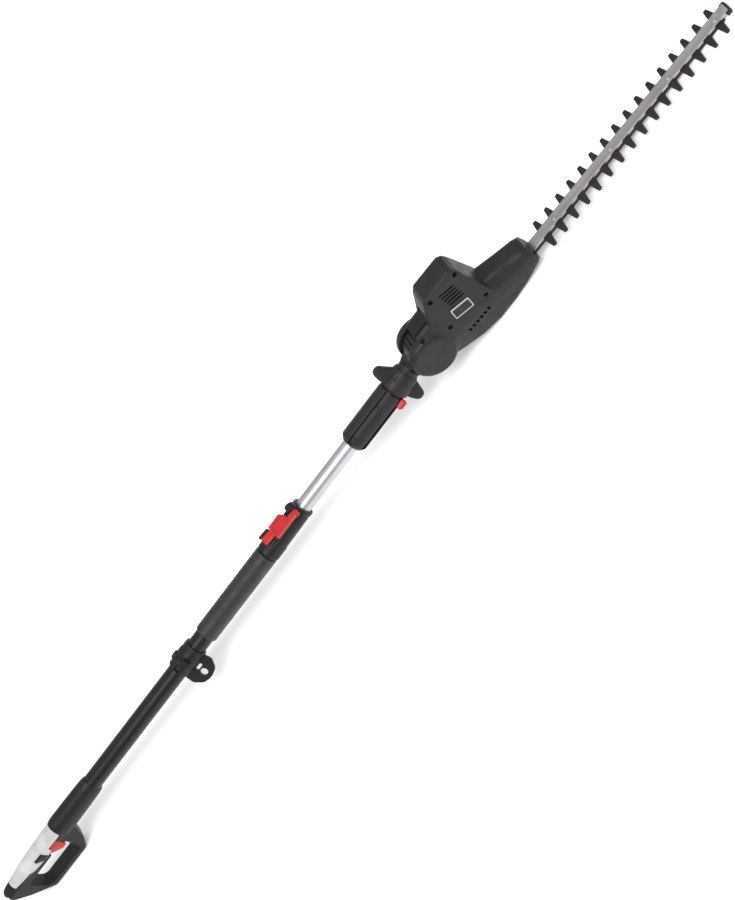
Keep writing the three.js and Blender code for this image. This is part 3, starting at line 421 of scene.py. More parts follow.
def cell_foam(name, colour):
    """Closed-cell foam: pebbled skin, soft bloom and painted shade darkening the dents of its cells."""
    nodes = Nodes(name)
    cells = nodes.add("ShaderNodeTexVoronoi")
    cells.inputs["Scale"].default_value = 900
    nodes.link(nodes.place, cells.inputs["Vector"])
    # Painted shade: darker towards each cell's centre, where the bump dents the skin.
    pore_shade = nodes.range(cells.outputs["Distance"], 0.05, 0.6, 1, 0)
    cloud = nodes.range(nodes.noise(60, 4), 0.35, 0.65, 0, 1)
    tone = nodes.mix(cloud, tuple(c * 0.8 for c in colour), tuple(c * 1.25 for c in colour))
    nodes.link(nodes.mix(pore_shade, tone, tuple(c * 0.5 for c in colour)), nodes.shader.inputs["Base Color"])
    nodes.link(nodes.range(nodes.noise(90), 0.3, 0.7, 0.4, 0.62), nodes.shader.inputs["Roughness"])
    rough = nodes.add("ShaderNodeMath", operation="ADD")
    nodes.link(cells.outputs["Distance"], rough.inputs[0])
    nodes.link(nodes.noise(1400), rough.inputs[1])
    nodes.link(nodes.bump(rough.outputs["Value"], 0.5, 0.0003), nodes.shader.inputs["Normal"])
    nodes.shader.inputs["Sheen Weight"].default_value = 0.08
    nodes.shader.inputs["Specular IOR Level"].default_value = 0.6
    return nodes.material


def make_materials():
    """One material for each slot of the record."""
    SHADE["black_plastic"] = plastic("black_plastic", srgb(25, 22, 23), 0.42)
    SHADE["grey_plastic"] = plastic("grey_plastic", srgb(36, 34, 35), 0.45)
    SHADE["pale_plastic"] = plastic("pale_plastic", srgb(196, 194, 192), 0.42, wear=0.1)
    SHADE["red_plastic"] = plastic("red_plastic", srgb(184, 25, 29), 0.33, relief=0.05, wear=0.15, shine=0.5)
    SHADE["black_tube"] = drawn_metal(
        "black_tube", srgb(14, 12, 12), 0.3, relief=0.03, metallic=0.0, wear=0.12, shine=0.35)
    SHADE["silver_tube"] = drawn_metal("silver_tube", srgb(200, 199, 203), 0.36, relief=0.03)
    SHADE["foam"] = cell_foam("foam", srgb(22, 20, 20))
    SHADE["steel"] = drawn_metal("steel", srgb(186, 182, 184), 0.3)
    SHADE["dark_steel"] = drawn_metal("dark_steel", srgb(58, 53, 53), 0.42, metallic=0.75)
    SHADE["copper"] = drawn_metal("copper", srgb(176, 104, 62), 0.35, ALONG_Z)


SLOT_OF = {part["node"]: part["material_slot"] for part in frame["record"]["subparts"]}


def dress_cad_nodes():
    """Every CAD node gets its slot's finish; most visible ones are then replaced."""
    for name, node in frame["nodes"].items():
        material = SHADE[SLOT_OF[name]]
        if node.material_slots:
            for slot in node.material_slots:
                slot.material = material
        else:
            node.data.materials.append(material)


# ---- Pieces -------------------------------------------------------------------------------

BODY_OF = {node: body for body, nodes in frame["record"]["behaviour"]["bodies"].items() for node in nodes}
SMOOTH_UNDER = math.radians(34)


def piece(name, bm, axes, node, replaced=None, slot=None):
    """Finish a bmesh as a piece that rides with a CAD node's body, standing for that node by default."""
    bm.transform(axes)
    mesh = bpy.data.meshes.new(name)
    bm.to_mesh(mesh)
    bm.free()
    mesh.shade_smooth()
    mesh.set_sharp_from_angle(angle=SMOOTH_UNDER)
    slot = slot or SLOT_OF[node]
    mesh.materials.append(SHADE[slot])
    obj = bpy.data.objects.new(name, mesh)
    bpy.context.scene.collection.objects.link(obj)
    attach(obj, BODY_OF[node])
    for each in replaced if replaced is not None else [node]:
        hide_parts(each)
    return obj


def halves(body, axes, stem):
    """A casing's two halves, left on the -Y side."""
    for side, hand in ((-1, "left"), (1, "right")):
        name = f"{stem}_{hand}"
        piece(name, half_of(body, side), axes, name)


SCREW_DEPTH = 3


def screw(name, axes, x, z, face_y, radius):
    """A pan-head screw with a cross recess, on the -Y side of a casing."""
    bm = lathe([
        (0, 0), (0, radius * 0.75), (0.5, radius * 0.95), (1.0, radius), (SCREW_DEPTH, radius),
        (SCREW_DEPTH, 0),
    ], "y", 32)
    arm, reach = radius * 0.13, radius * 0.58
    for half_x, half_z in ((reach, arm), (arm, reach)):
        bm = carved(bm, block((-half_x, half_x), (-1, 1.1), (-half_z, half_z)))
    piece(name, moved(bm, placed(x, face_y, z)), axes, name)


# ---- Handle -------------------------------------------------------------------------------

# Side-view outlines are (x, z) or (x, z, corner radius); turned profiles are (x, radius).
BUTT_X = -1151
GRIP_R = 17.3
BARREL_R = 18.6
GRIP_TAPER = [(-1126, 10.2), (-1108, 12.4), (-1085, 14.4), (-1055, 16.2), (-1002, GRIP_R)]
GUARD_HALF = 13
GUARD_SCREWS = [(-1126, -24), (-1000, -38)]  # (x, z) of the two screws on the guard's near side
COVER_FRONT = -996
INLET_Z = -2
OPENING = [(-1010, -15, 4), (-1110, -15, 4), (-1103, -55, 10), (-1013, -55, 8)]
LOOP = [
    (-1149, -10, 9), (-1148, 1, 5), (-1124, 2), (-985, 0), (-972, -14, 8),
    (-980, -24, 12), (-996, -50, 16), (-1013, -66, 11), (-1101, -66, 12), (-1132, -34, 30),
]


def grip_profile(shrink):
    """The tapered grip, closed at the butt, drawn in by a depth."""
    butt = [
        (BUTT_X + shrink, 0), (BUTT_X + 1 + shrink, 3.5), (BUTT_X + 5 + shrink, 7 - shrink),
        (BUTT_X + 14, 9 - shrink),
    ]
    taper = [(x, r - shrink) for x, r in GRIP_TAPER]
    return [*butt, *taper, (-990, GRIP_R - shrink), (-990, 0)]


def cover_side():
    """The zigzag side view of the pale cover."""
    return rounded([
        (-1124, 0.5), (-1086, 0.5, 1.5), (-1077, -6, 1.5), (-1032, -6, 1.5), (-1027, 3.5, 1.5),
        (COVER_FRONT, 3.5), (COVER_FRONT, 30), (-1124, 30),
    ])


def lock_side(grow):
    """The slanted side view of the lock-off button, grown all round by a margin."""
    return rounded([
        (-1063 - grow, 8 + grow, 1.5), (-1052 - grow, -4.4 - grow, 1.5), (-1039.8 + grow, -4.4 - grow, 1.5),
        (-1043 + grow, 8 + grow, 1.5),
    ])


def build_handle_shells():
    loop = eased(prism(rounded(LOOP), -GUARD_HALF, GUARD_HALF), 3.8, 4, clamp=False)
    opening = prism(rounded(OPENING), -GUARD_HALF - 5, GUARD_HALF + 5)
    barrel = lathe([
        (-998, 0), (-998, 15.5), (-997, 17), (-993, 18.2), (-987, BARREL_R), (-930, BARREL_R - 0.6),
        (-903, BARREL_R - 1.3), (-896, BARREL_R - 2.2), (-893, BARREL_R - 3.4), (-893, 0),
    ])
    barrel.transform(placed(z=-1.1) @ Matrix.Diagonal((1, 0.97, 1.13, 1)))
    body = fused(carved(loop, opening), lathe(grip_profile(0)), barrel, voxel=0.7, smoothing=7)
    seat = combined(prism(cover_side(), -30, 30), lathe(grip_profile(2.6)), "DIFFERENCE")
    trigger_slot = prism(rounded([(-1043, -30), (-1009, -30), (-1009, 2.4, 2), (-1043, 2.4, 2)]), -25, 25)
    bore = rod(-1000, -880, 15.2)
    inlet = moved(rod(BUTT_X - 19, BUTT_X + 8, 5.6), placed(z=INLET_Z))
    body = carved(body, seat, trigger_slot, bore, inlet)
    halves(body, POLE, "handle_shell")


def build_grip_cover():
    shell = carved(lathe(grip_profile(0), turns=144), lathe(grip_profile(2.45), turns=144))
    shell = combined(shell, prism(cover_side(), -30, 30), "INTERSECT")
    shell = carved(shell, prism(lock_side(0.3), -25, -6))
    piece("grip_cover", eased(shell, 0.45), POLE, "grip_cover")


def build_lock_button():
    """The button in its slanted window, with ribs that lean as it does."""
    button = prism(lock_side(-0.15), -17.2, -11.6)
    lean = placed(-1051, 0, 2) @ Matrix.Rotation(math.radians(42), 4, "Y") @ placed(1051, 0, -2)
    ribs = []
    for x in (-1053, -1050.5, -1048, -1045.5):
        ribs.append(moved(block((x, x + 0.9), (-17.55, -16.5), (-2.6, 6.4)), lean))
    piece("lock_off_button", gathered(eased(button, 0.5), *ribs), POLE, "lock_off_button")


def build_trigger():
    """A hollow finger paddle about its pivot (px, pz), with a seat for its spring."""
    low, high = span("trigger")
    px, pz = (Vector(JOINTS["trigger"]["pos_m"]) - HINGE).xz / MM
    side = rounded([
        (px + 5, high.z, 2), (px - 6, high.z, 2), (px - 21, -2.8, 1.5), (px - 22, pz - 3, 3),
        (px - 15, pz - 9, 9), (px - 6, pz - 16.5, 7), (px + 4, pz - 16, 4),
    ])
    paddle = eased(prism(side, low.y, high.y), 1.4, 3)
    well = block((px - 40, px + 12), (low.y + 2.2, high.y - 2.2), (pz + 5, 20))
    spring_seat = moved(rod(pz - 4, 20, 4.4, "z"), placed(px - 16))
    piece("trigger", carved(paddle, well, spring_seat), POLE, "trigger")


def build_cord_inlet():
    ring = lathe([
        (BUTT_X, 3.2), (BUTT_X, 4.6), (BUTT_X + 0.8, 5.4), (BUTT_X + 12, 5.4), (BUTT_X + 12, 3.2),
    ])
    piece("cord_inlet", moved(ring, placed(z=INLET_Z)), POLE, "cord_inlet")


def build_handle_screws():
    for i, (x, z) in enumerate(GUARD_SCREWS):
        screw(f"handle_screw_{i + 1}", POLE, x, z, -12.4, 2.9)


def build_handle():
    build_handle_shells()
    build_grip_cover()
    build_lock_button()
    build_trigger()
    build_cord_inlet()
    build_handle_screws()


# ---- Lower pole ---------------------------------------------------------------------------

LOWER_TUBE_R = 15
ON_LOWER_TUBE_R = 15.3  # bore of what is clamped or pushed on the tube


def build_lower_tube():
    low, high = span("lower_tube")
    piece("lower_tube", sleeve(low.x, high.x, LOWER_TUBE_R - 1.2, LOWER_TUBE_R), POLE, "lower_tube")


def build_foam():
    """The foam sleeve, with rolled ends and a faintly uneven skin."""
    low, high = span("foam_grip")
    radius = high.z
    rings = 90
    profile = [(low.x, ON_LOWER_TUBE_R), (low.x, radius - 2), (low.x + 0.7, radius - 0.7)]
    step = (high.x - low.x - 5) / rings
    profile += [(low.x + 2.5 + step * k, radius) for k in range(rings + 1)]
    profile += [(high.x - 0.7, radius - 0.7), (high.x, radius - 2), (high.x, ON_LOWER_TUBE_R)]
    bm = lathe(profile)
    unevenness = 0.16
    for vert in bm.verts:
        if vert.co.yz.length > radius - 0.2:
            swell = unevenness * noise.noise(vert.co * 0.11)
            vert.co.yz *= 1 + (swell - unevenness) / radius
    foam = piece("foam_grip", bm, POLE, "foam_grip")


STRAP_TURN = 38  # degrees that the harness lug is swung towards -Y
STRAP_BOLT_Y = (-22.8, 22.8)
STRAP_ROOM = (-90, 90)  # wider than the bracket each way


def strap_casting(half):
    """Both halves of the harness bracket as one: ring, bolt ears, flat lug and its gussets."""
    ring = lathe([
        (-half, 0), (-half, 17.2), (-half + 1.2, 18.4), (-4, 18.5), (-3, 17.6), (-1, 17.6), (0, 19),
        (1.5, 19.4), (12, 19.4), (13.5, 19), (14.5, 18.3), (half + 5, 18.3), (half + 6.2, 17.2),
        (half + 6.2, 0),
    ])
    ears = eased(block((-8, 8), (-26.5, 26.5), (-7, 7)), 1.5, 3, clamp=False)
    lug_side = rounded([
        (-25, -10), (-25.5, -30, 8), (-15, -43.5, 12), (0, -47, 20), (15, -43.5, 12), (25, -30, 8),
        (22, -12, 3), (20, -8),
    ])
    lug = eased(prism(lug_side, -2.5, 2.5), 0.8, 3, clamp=False)
    gusset_side = rounded([(-14, -12), (-14, -17, 1), (14, -17, 1), (14, -12)])
    gussets = [prism(gusset_side, y, y + 3.2) for y in (-5.6, 2.4)]
    body = fused(ring, ears, lug, *gussets, voxel=0.55, smoothing=4)
    hook_hole = prism(circle(0, -33, 6.1), -10, 10)
    strap_slot = prism(slot_outline(2, -22.2, 13, 5), -10, 10)
    bolt_holes = [moved(rod(-20, 20, 2.3, "z"), placed(y=y)) for y in STRAP_BOLT_Y]
    return carved(body, rod(-60, 60, ON_LOWER_TUBE_R), hook_hole, strap_slot, *bolt_holes)


def strap_knob():
    """The dished boss on top of the cap."""
    boss = lathe([
        (11, 0), (11, 7.5), (18, 7.5), (20.5, 6.8), (21.4, 5.5), (21.4, 3.4), (19.4, 3.2), (19.4, 0),
    ], "z", 48)
    return carved(moved(boss, placed(-5)), rod(-60, 60, ON_LOWER_TUBE_R))


def strap_bolt():
    hexagon = prism(circle(0, 0, 4, 6), 7.3, 10, "xy")
    washer = rod(6.6, 7.4, 4.6, "z", 0.2)
    shank = rod(-8.2, 7, 2, "z")
    return gathered(eased(hexagon, 0.35), washer, shank)


def build_strap_bracket():
    low, high = span("strap_bracket_cap")
    place = POLE @ at_angle(STRAP_TURN) @ placed((low.x + high.x) / 2)
    body = strap_casting((high.x - low.x) / 2)
    lower = combined(body.copy(), block(STRAP_ROOM, STRAP_ROOM, (-90, -SEAM)), "INTERSECT")
    piece("strap_bracket_lug", lower, place, "strap_bracket_lug")
    window = eased(block((-19, -9), (-21, -14.5), (-1, 9)), 1, 2)
    upper = carved(combined(body, block(STRAP_ROOM, STRAP_ROOM, (SEAM, 90)), "INTERSECT"), window)
    piece("strap_bracket_cap", gathered(upper, strap_knob()), place, "strap_bracket_cap")
    for i, y in enumerate(STRAP_BOLT_Y):
        name = f"strap_bracket_bolt_{i + 1}"
        piece(name, moved(strap_bolt(), placed(y=y)), place, name, slot="dark_steel")


CLAMP_TURN = 17  # degrees that the clamp's lever is swung towards -Y
CLAMP_AXES = POLE @ at_angle(-CLAMP_TURN)


def lever_pivot():
    """The clamp lever's pivot as (x, height) in the clamp's turned axes."""
    pivot = CLAMP_AXES.inverted() @ Vector(JOINTS["clamp_lever"]["pos_m"])
    return pivot.x, pivot.z


def build_clamp_collar():
    """The clamp's barrel with the lever's boss, seat and side rails on top."""
    low, high = span("clamp_collar")
    rear, front = low.x, high.x
    px, pz = lever_pivot()
    collar = lathe([
        (rear, 0), (rear, 16.6), (rear + 1, 17.6), (rear + 3, 18.3), (rear + 24, 18.3), (rear + 27, 17.4),
        (rear + 55, 17), (front - 11, 16.4), (front - 9.4, 15.8), (front - 6.5, 15.8), (front - 6, 17),
        (front - 1, 17), (front, 16.4), (front, 0),
    ])
    boss = moved(lathe([
        (-2.5, 0), (-2.5, 7.2), (-1.7, 8), (8.7, 8), (9.5, 7.2), (9.5, 5), (8.9, 4.6), (8.9, 0),
    ], "y", 64), placed(px, 0, pz))
    seat = block((px - 9.5, px + 7), (-2.4, 9.4), (8, pz - 0.5))
    rails = [block((rear + 22, px - 12), (y, y + 3), (12, pz - 4.4)) for y in (-10.5, 6.5)]
    body = fused(collar, boss, seat, *rails, voxel=0.5, smoothing=4)
    eye = moved(rod(-15, -2.7, 5.9, "y"), placed(px, 0, pz))
    lower_bore = rod(rear - 5, front - 9, ON_LOWER_TUBE_R)
    upper_bore = rod(front - 12, front + 5, 12.8)
    body = carved(body, lower_bore, upper_bore, eye)
    lines = [block((rear + 3, rear + 20), (-22, 22), (z, z + 0.9)) for z in (-9, -6, -3)]
    piece("clamp_collar", carved(body, *lines), CLAMP_AXES, "clamp_collar")


def build_clamp_lever():
    """An eye on the pin, a dished plate along the clamp and a tongue that rises to the rear."""
    px, pz = lever_pivot()
    eye = moved(lathe([
        (-12.4, 0), (-12.4, 4.6), (-11.7, 5.3), (-3.7, 5.3), (-3, 4.6), (-3, 0),
    ], "y", 48), placed(px, 0, pz))
    neck = prism(rounded([
        (px, pz + 5.3), (px, pz - 2), (px - 6, pz - 2), (px - 15, pz - 0.5), (px - 15, pz + 5),
    ]), -12.4, -3)
    plate = prism(rounded([
        (px - 13, -12.8, 3), (px - 13, 2, 2), (px - 20, 12.2, 3), (px - 47, 12.2, 2), (px - 47, -12.8, 2),
    ]), pz - 0.6, pz + 4.8, "xy")
    tongue = prism(rounded([
        (px - 45, pz - 0.6), (px - 45, pz + 4.6), (px - 66, pz + 8.6, 1), (px - 68, pz + 4.5, 1.5),
        (px - 58, pz + 1),
    ]), -5, 7.6)
    forms = [eased(form, 0.9, 3, clamp=False) for form in (neck, plate, tongue)]
    lever = fused(eye, *forms, voxel=0.45, smoothing=4)
    dish = prism(rounded([
        (px - 21, -9, 2), (px - 21, 7, 2), (px - 42, 7, 2), (px - 42, -9, 2),
    ]), pz + 4.2, pz + 12, "xy")
    hole = moved(rod(-20, 0, 2.3, "y"), placed(px, 0, pz))
    piece("clamp_lever", carved(lever, dish, hole), CLAMP_AXES, "clamp_lever")


def build_lever_tab():
    px, pz = lever_pivot()
    tab = prism(rounded([
        (px - 49, pz + 0.2), (px - 66, pz + 3, 1), (px - 69, pz + 9.2, 1.4), (px - 49, pz + 7.2, 1),
    ]), 7.9, 12)
    ribs = [block((x, x + 1), (8.4, 11.6), (pz + 6, pz + 9.6)) for x in (px - 65, px - 62, px - 59)]
    piece("lever_tab", gathered(eased(tab, 0.6), *ribs), CLAMP_AXES, "lever_tab")


def build_lever_pin():
    px, pz = lever_pivot()
    pin = lathe([(-13, 0), (-13, 1.6), (-12.6, 2), (7, 2), (7, 0)], "y", 32)
    # Dark steel here is painted shade: the pin is darkened to stand for the shaded hole of the lever's eye.
    piece("lever_pin", moved(pin, placed(px, 0, pz)), CLAMP_AXES, "lever_pin", slot="dark_steel")


def build_lower_pole():
    build_lower_tube()
    build_foam()
    build_strap_bracket()
    build_clamp_collar()
    build_clamp_lever()
    build_lever_tab()
    build_lever_pin()


# ---- Upper pole and coupling --------------------------------------------------------------

UPPER_TUBE_R = 12.5
COUPLING_R = 21
COUPLING_TURN = 7  # degrees that the coupling is rolled, its -Y side up
COUPLING_AXES = POLE @ at_angle(COUPLING_TURN)
GROOVE_ANGLES = (45, -28, 135, 208)  # degrees above the -Y side
COUPLING_SCREWS = [(-178, 45), (-118, 45), (-175, -28), (-122, -28)]  # (x, degrees above the -Y side)
BUTTON_ANGLE = -45


def build_upper_tube():
    low, high = span("upper_tube")
    piece("upper_tube", sleeve(low.x, high.x, UPPER_TUBE_R - 1.2, UPPER_TUBE_R), POLE, "upper_tube")


def build_coupling_shells():
    low, high = span("coupling_shell_left")
    rear, front = low.x, high.x
    body = lathe([
        (rear + 4, 0), (rear + 4, 15.5), (rear + 5, 17), (rear + 10, 20.4), (rear + 12, COUPLING_R),
        (front - 2.4, COUPLING_R), (front - 1.6, 20.2), (front - 0.4, 20.2), (front, 19.8), (front, 0),
    ])
    grooves = []
    for degrees in GROOVE_ANGLES:
        groove = prism(rounded([
            (rear + 8, -3.8, 3.5), (front + 9, -3.8), (front + 9, 3.8), (rear + 8, 3.8, 3.5),
        ]), -30, -14.2)
        grooves.append(moved(groove, at_angle(degrees)))
    body = fused(carved(body, *grooves), voxel=0.6, smoothing=2)
    seats = []
    for x, degrees in COUPLING_SCREWS:
        seats.append(moved(rod(-30, -13.6, 2.6, "y"), at_angle(degrees) @ placed(x)))
    button_well = moved(block((-102, front + 5), (-30, -15.5), (-4.6, 4.6)), at_angle(BUTTON_ANGLE))
    body = carved(body, rod(rear - 5, front + 5, UPPER_TUBE_R + 0.2), *seats, button_well)
    halves(body, COUPLING_AXES, "coupling_shell")


def build_coupling_screws():
    for i, (x, degrees) in enumerate(COUPLING_SCREWS):
        head = lathe([(-15.4, 0), (-15.4, 1.6), (-15, 2.1), (-14.3, 2.1), (-14.3, 0)], "y", 28)
        head = carved(head, block((-1.3, 1.3), (-20, -15), (-0.3, 0.3)))
        name = f"coupling_screw_{i + 1}"
        piece(name, moved(head, at_angle(degrees) @ placed(x)), COUPLING_AXES, name)


def build_coupling_button():
    """A ribbed push button with a seat for its spring underneath."""
    low, high = span("button_spring")
    spring_seat = moved(rod(-23.5, -18, 3.6, "y"), placed((low.x + high.x) / 2))
    base = carved(eased(block((-101, -86.8), (-26.4, -18.6), (-4.2, 4.2)), 0.9, 3), spring_seat)
    ribs = []
    for x in (-98.9, -95.9, -92.9, -89.9):
        ribs.append(eased(block((x, x + 1.5), (-28.4, -25.6), (-3.7, 3.7)), 0.4))
    button = moved(gathered(base, *ribs), at_angle(BUTTON_ANGLE))
    piece("coupling_button", button, COUPLING_AXES, "coupling_button")


WING_TURN = 17  # degrees that the upper wing leans towards +Y
NECK_R = 17.5
PAWL_ANGLE = 72  # degrees above the head's axis at which the rocker's tooth meets the knuckle
NOTCH_STEP = 15  # degrees


def build_release_collar():
    """A ring with an upper and a lower wing and four finger pockets."""
    low, high = span("release_collar")
    rear, front = low.x, high.x
    ring = lathe([
        (rear, 0), (rear, 18.6), (rear + 3.5, 20.4), (rear + 4.5, 22.6), (rear + 18, 22.4), (front - 4, 20),
        (front, 18.4), (front, 0),
    ])
    wing_side = rounded([
        (rear + 2, 14), (rear + 4, 30, 12), (rear + 8, 44.5, 8), (rear + 21, 44, 8), (front - 9, 30, 12),
        (front - 1, 14),
    ])
    wings = [
        moved(eased(prism(wing_side, -4.6, 4.6), 2.6, 4, clamp=False), Matrix.Rotation(turn, 4, "X"))
        for turn in (0, math.pi)
    ]
    body = fused(ring, *wings, voxel=0.6, smoothing=6)
    pockets = []
    for degrees in (50, 130, 230, 310):
        pockets.append(moved(eased(block((-66, -58), (-26, -20.4), (-3.5, 3.5)), 1, 2), at_angle(degrees)))
    body = carved(body, rod(rear - 5, front + 5, NECK_R + 0.3), *pockets)
    piece("release_collar", body, POLE @ at_angle(WING_TURN), "release_collar")


def build_neck():
    """The neck and the hinge knuckle, whose rim is notched for the rocker's tooth."""
    neck = lathe([
        (-116, 0), (-116, 11.5), (-114, 12.5), (-86.3, 12.5), (-86.3, NECK_R), (-50, NECK_R), (-49, 16.6),
        (-46.5, 16.6), (-45.5, NECK_R), (-42, NECK_R), (-40, 16), (-40, 0),
    ])
    disc = lathe([(-13, 0), (-13, 32.2), (-12.2, 33), (12.2, 33), (13, 32.2), (13, 0)], "y", 144)
    tongue = prism(straight((-41, 13.5), (-41, -13.5), (-20, -20), (-20, 20)), -13, 13)
    body = fused(neck, disc, tongue, voxel=0.6, smoothing=3)
    notches = []
    pawl = PAWL_ANGLE - math.degrees(DROOP)
    for step in range(-5, 4):
        wedge = prism(straight((30.5, -0.8), (37, -2), (37, 2), (30.5, 0.8)), -20, 20)
        notches.append(moved(wedge, Matrix.Rotation(math.radians(-(pawl + NOTCH_STEP * step)), 4, "Y")))
    piece("neck_knuckle", carved(body, *notches), POLE, "neck_knuckle")


def build_upper_pole():
    build_upper_tube()
    build_coupling_shells()
    build_coupling_screws()
    build_coupling_button()
    build_release_collar()
    build_neck()


# ---- Head ---------------------------------------------------------------------------------

# Each section: x, top, bottom, half-width at the top, at mid height, mid height, half-width at the bottom.
BASE_SECTIONS = [
    (8, 41, -36, 20, 29, 0, 19), (30, 42, -47, 20, 30, 0, 20), (60, 42, -59, 22, 29, 0, 21),
    (95, 34, -64, 22, 29, -5, 22), (128, 8, -63, 16, 27, -20, 22), (160, -3, -60, 15, 25, -28, 21),
    (191, -14, -53, 15, 23.5, -33, 20), (199, -20, -49, 13, 22, -34, 19),
]
HUMP_SECTIONS = [
    (33, 40, -10, 20, 29, 5, 22), (58, 72, -10, 21.5, 29, 5, 22), (66, 78.5, -10, 21.5, 29, 5, 22),
    (117, 78, -10, 21.5, 28, 3, 22), (124, 74, -10, 20, 27, 0, 22), (127, 66, -10, 17.5, 26, 0, 21),
]
RING_POINTS = 48
CHEEK_R = 38
HEAD_SCREWS = [  # (x, z, y of the screw's face)
    (12, 37, -22.5), (68, 69, -17), (121, 66, -16), (50, 14, -25), (117, -1, -23.5),
]
HEAD_SCREW_R = 3.4
CAP_SLIT_X = (80, 99)  # two slits on the far edge of the hump's top
LOUVRES = 5
VENTS = 6
VENT_FLOOR = 15  # how near the middle plane the louvres and vents reach
PLATE_CENTRE = (84, -28.7, 20.5)
PLATE_LEAN = math.radians(17)  # down to the front
PLATE_TILT = -0.05  # radians; its upper edge leans in, as the casing's side does


def ring_of(x, top, bottom, half_top, half_mid, mid, half_bottom):
    """One cross-section of the head as evenly spaced points on a rounded eight-sided ring."""
    right = [(half_top, top, 5), (half_mid, mid + 8, 8), (half_mid, mid - 8, 8), (half_bottom, bottom, 7)]
    left = [(-y, z, r) for y, z, r in reversed(right)]
    return evened([Vector((y, z)) for y, z in rounded(right + left)], x)


def evened(outline, x):
    """A closed outline resampled to RING_POINTS points, at x."""
    lengths = [(b - a).length for a, b in zip(outline, outline[1:] + outline[:1])]
    step = sum(lengths) / RING_POINTS
    points, edge, start = [], 0, 0.0
    for k in range(RING_POINTS):
        while start + lengths[edge] < k * step:
            start += lengths[edge]
            edge += 1
        a, b = outline[edge], outline[(edge + 1) % len(outline)]
        y, z = a.lerp(b, (k * step - start) / lengths[edge])
        points.append((x, y, z))
    return points


def loft(sections):
    """A closed skin over a row of cross-sections."""
    bm = bmesh.new()
    rings = [[bm.verts.new(p) for p in ring_of(*section)] for section in sections]
    for low, high in zip(rings, rings[1:]):
        for i in range(RING_POINTS):
            j = (i + 1) % RING_POINTS
            bm.faces.new((low[i], low[j], high[j], high[i]))
    bm.faces.new(rings[0])
    bm.faces.new(rings[-1])
    bmesh.ops.recalc_face_normals(bm, faces=bm.faces)
    return bm


def plate_axes():
    return placed(*PLATE_CENTRE) @ Matrix.Rotation(PLATE_LEAN, 4, "Y") @ Matrix.Rotation(PLATE_TILT, 4, "X")


def louvre(i, low, high):
    lean = placed(94 - i * 0.6, 0, 60.5 - i * 5.9) @ Matrix.Rotation(math.radians(14), 4, "Y")
    return moved(prism(slot_outline(0, 0, 27, 3.1), low, high), lean)


def vent(i, low, high):
    """One of a row of arrowheads that point forwards."""
    x = 60 + i * 8.3
    return prism(rounded([(x - 2.8, -28, 0.5), (x + 3, -22.5, 0.5), (x - 2.8, -17, 0.5)]), low, high)


def head_cutters():
    """Louvres and vents on both sides, screw wells, slits and the name plate's recess."""
    cutters = []
    for low, high in ((-45, -VENT_FLOOR), (VENT_FLOOR, 45)):
        cutters += [louvre(i, low, high) for i in range(LOUVRES)]
        cutters += [vent(i, low, high) for i in range(VENTS)]
    for x, z, y in HEAD_SCREWS:
        cutters.append(moved(rod(-45, y + 0.5, HEAD_SCREW_R + 0.5, "y", 0.2), placed(x, 0, z)))
    cutters += [block((x - 1.3, x + 1.3), (14, 40), (76.4, 90)) for x in CAP_SLIT_X]
    cutters.append(moved(block((-16.3, 16.3), (-1.3, 8), (-9.7, 9.7)), plate_axes()))
    return cutters


def build_head_shells():
    cheeks = []
    for side in (-1, 1):
        cheek = lathe([
            (15, 0), (15, CHEEK_R), (23, CHEEK_R), (26, 37), (28.5, 35), (31, 31.5), (31, 0),
        ], "y", 144)
        cheeks.append(moved(cheek, Matrix.Rotation(math.pi if side < 0 else 0, 4, "Z")))
    body = fused(loft(BASE_SECTIONS), loft(HUMP_SECTIONS), *cheeks, voxel=0.8, smoothing=5)
    knuckle = lathe([(-15, 0), (-15, 34.7), (15, 34.7), (15, 0)], "y", 144)
    slots = [
        knuckle,
        block((-60, 0), (-15, 15), (-60, 60)),
        block((0, 24), (-15, 15), (-60, -10)),
        block((-10, 44.6), (-12.5, 12.5), (28, 60)),
        block((180, 210), (-15.2, 15.2), (-46.6, -39)),
        rod(25.7, 40, 9.6, "y"),
    ]
    body = carved(body, *slots, *head_cutters())
    halves(body, HEAD, "head_shell")


def build_head_screws():
    for i, (x, z, y) in enumerate(HEAD_SCREWS):
        screw(f"head_screw_{i + 1}", HEAD, x, z, y, HEAD_SCREW_R)


def build_name_plate():
    """A raised border round a blank panel."""
    outer = rounded([(-16, -9.4, 1.6), (16, -9.4, 1.6), (16, 9.4, 1.6), (-16, 9.4, 1.6)])
    inner = rounded([(-14.5, -7.9, 1.1), (14.5, -7.9, 1.1), (14.5, 7.9, 1.1), (-14.5, 7.9, 1.1)])
    border = eased(prism(outer, -1.2, 0.8, holes=[inner]), 0.25)
    piece("name_plate", border, HEAD @ plate_axes(), "name_plate")
    panel = prism(inner, -0.6, 0.6)
    piece("name_plate_panel", panel, HEAD @ plate_axes(), "name_plate", replaced=[], slot="grey_plastic")


def build_rocker():
    """The tilt release, with its tooth at the rear and a thumb rest at the front of its pin at px."""
    px = 27
    side = rounded([
        (px - 20, 42.8, 2), (px - 20, 40, 0.6), (px - 17.4, 38.4, 0.6), (px - 17.9, 31.5, 0.5),
        (px - 15.6, 31.5, 0.5), (px - 12.5, 37.4, 1), (px - 5, 35.6, 1), (px, 33.6, 2), (px + 5, 35.6, 1),
        (px + 16, 41, 2), (px + 17, 44.8, 2),
    ])
    rocker = eased(prism(side, -11.8, 11.8), 0.8, 3)
    piece("tilt_rocker", rocker, HEAD, "tilt_rocker")


def build_hinge_bolt():
    cap = lathe([(20, 0), (20, 9.2), (27.8, 9.2), (29.2, 8.2), (29.5, 7), (29.5, 0)], "y", 64)
    socket = prism(circle(0, 0, 4, 6), 26.5, 32)
    piece("hinge_bolt", carved(cap, socket), HEAD, "hinge_bolt")


def build_head():
    build_head_shells()
    build_head_screws()
    build_name_plate()
    build_rocker()
    build_hinge_bolt()


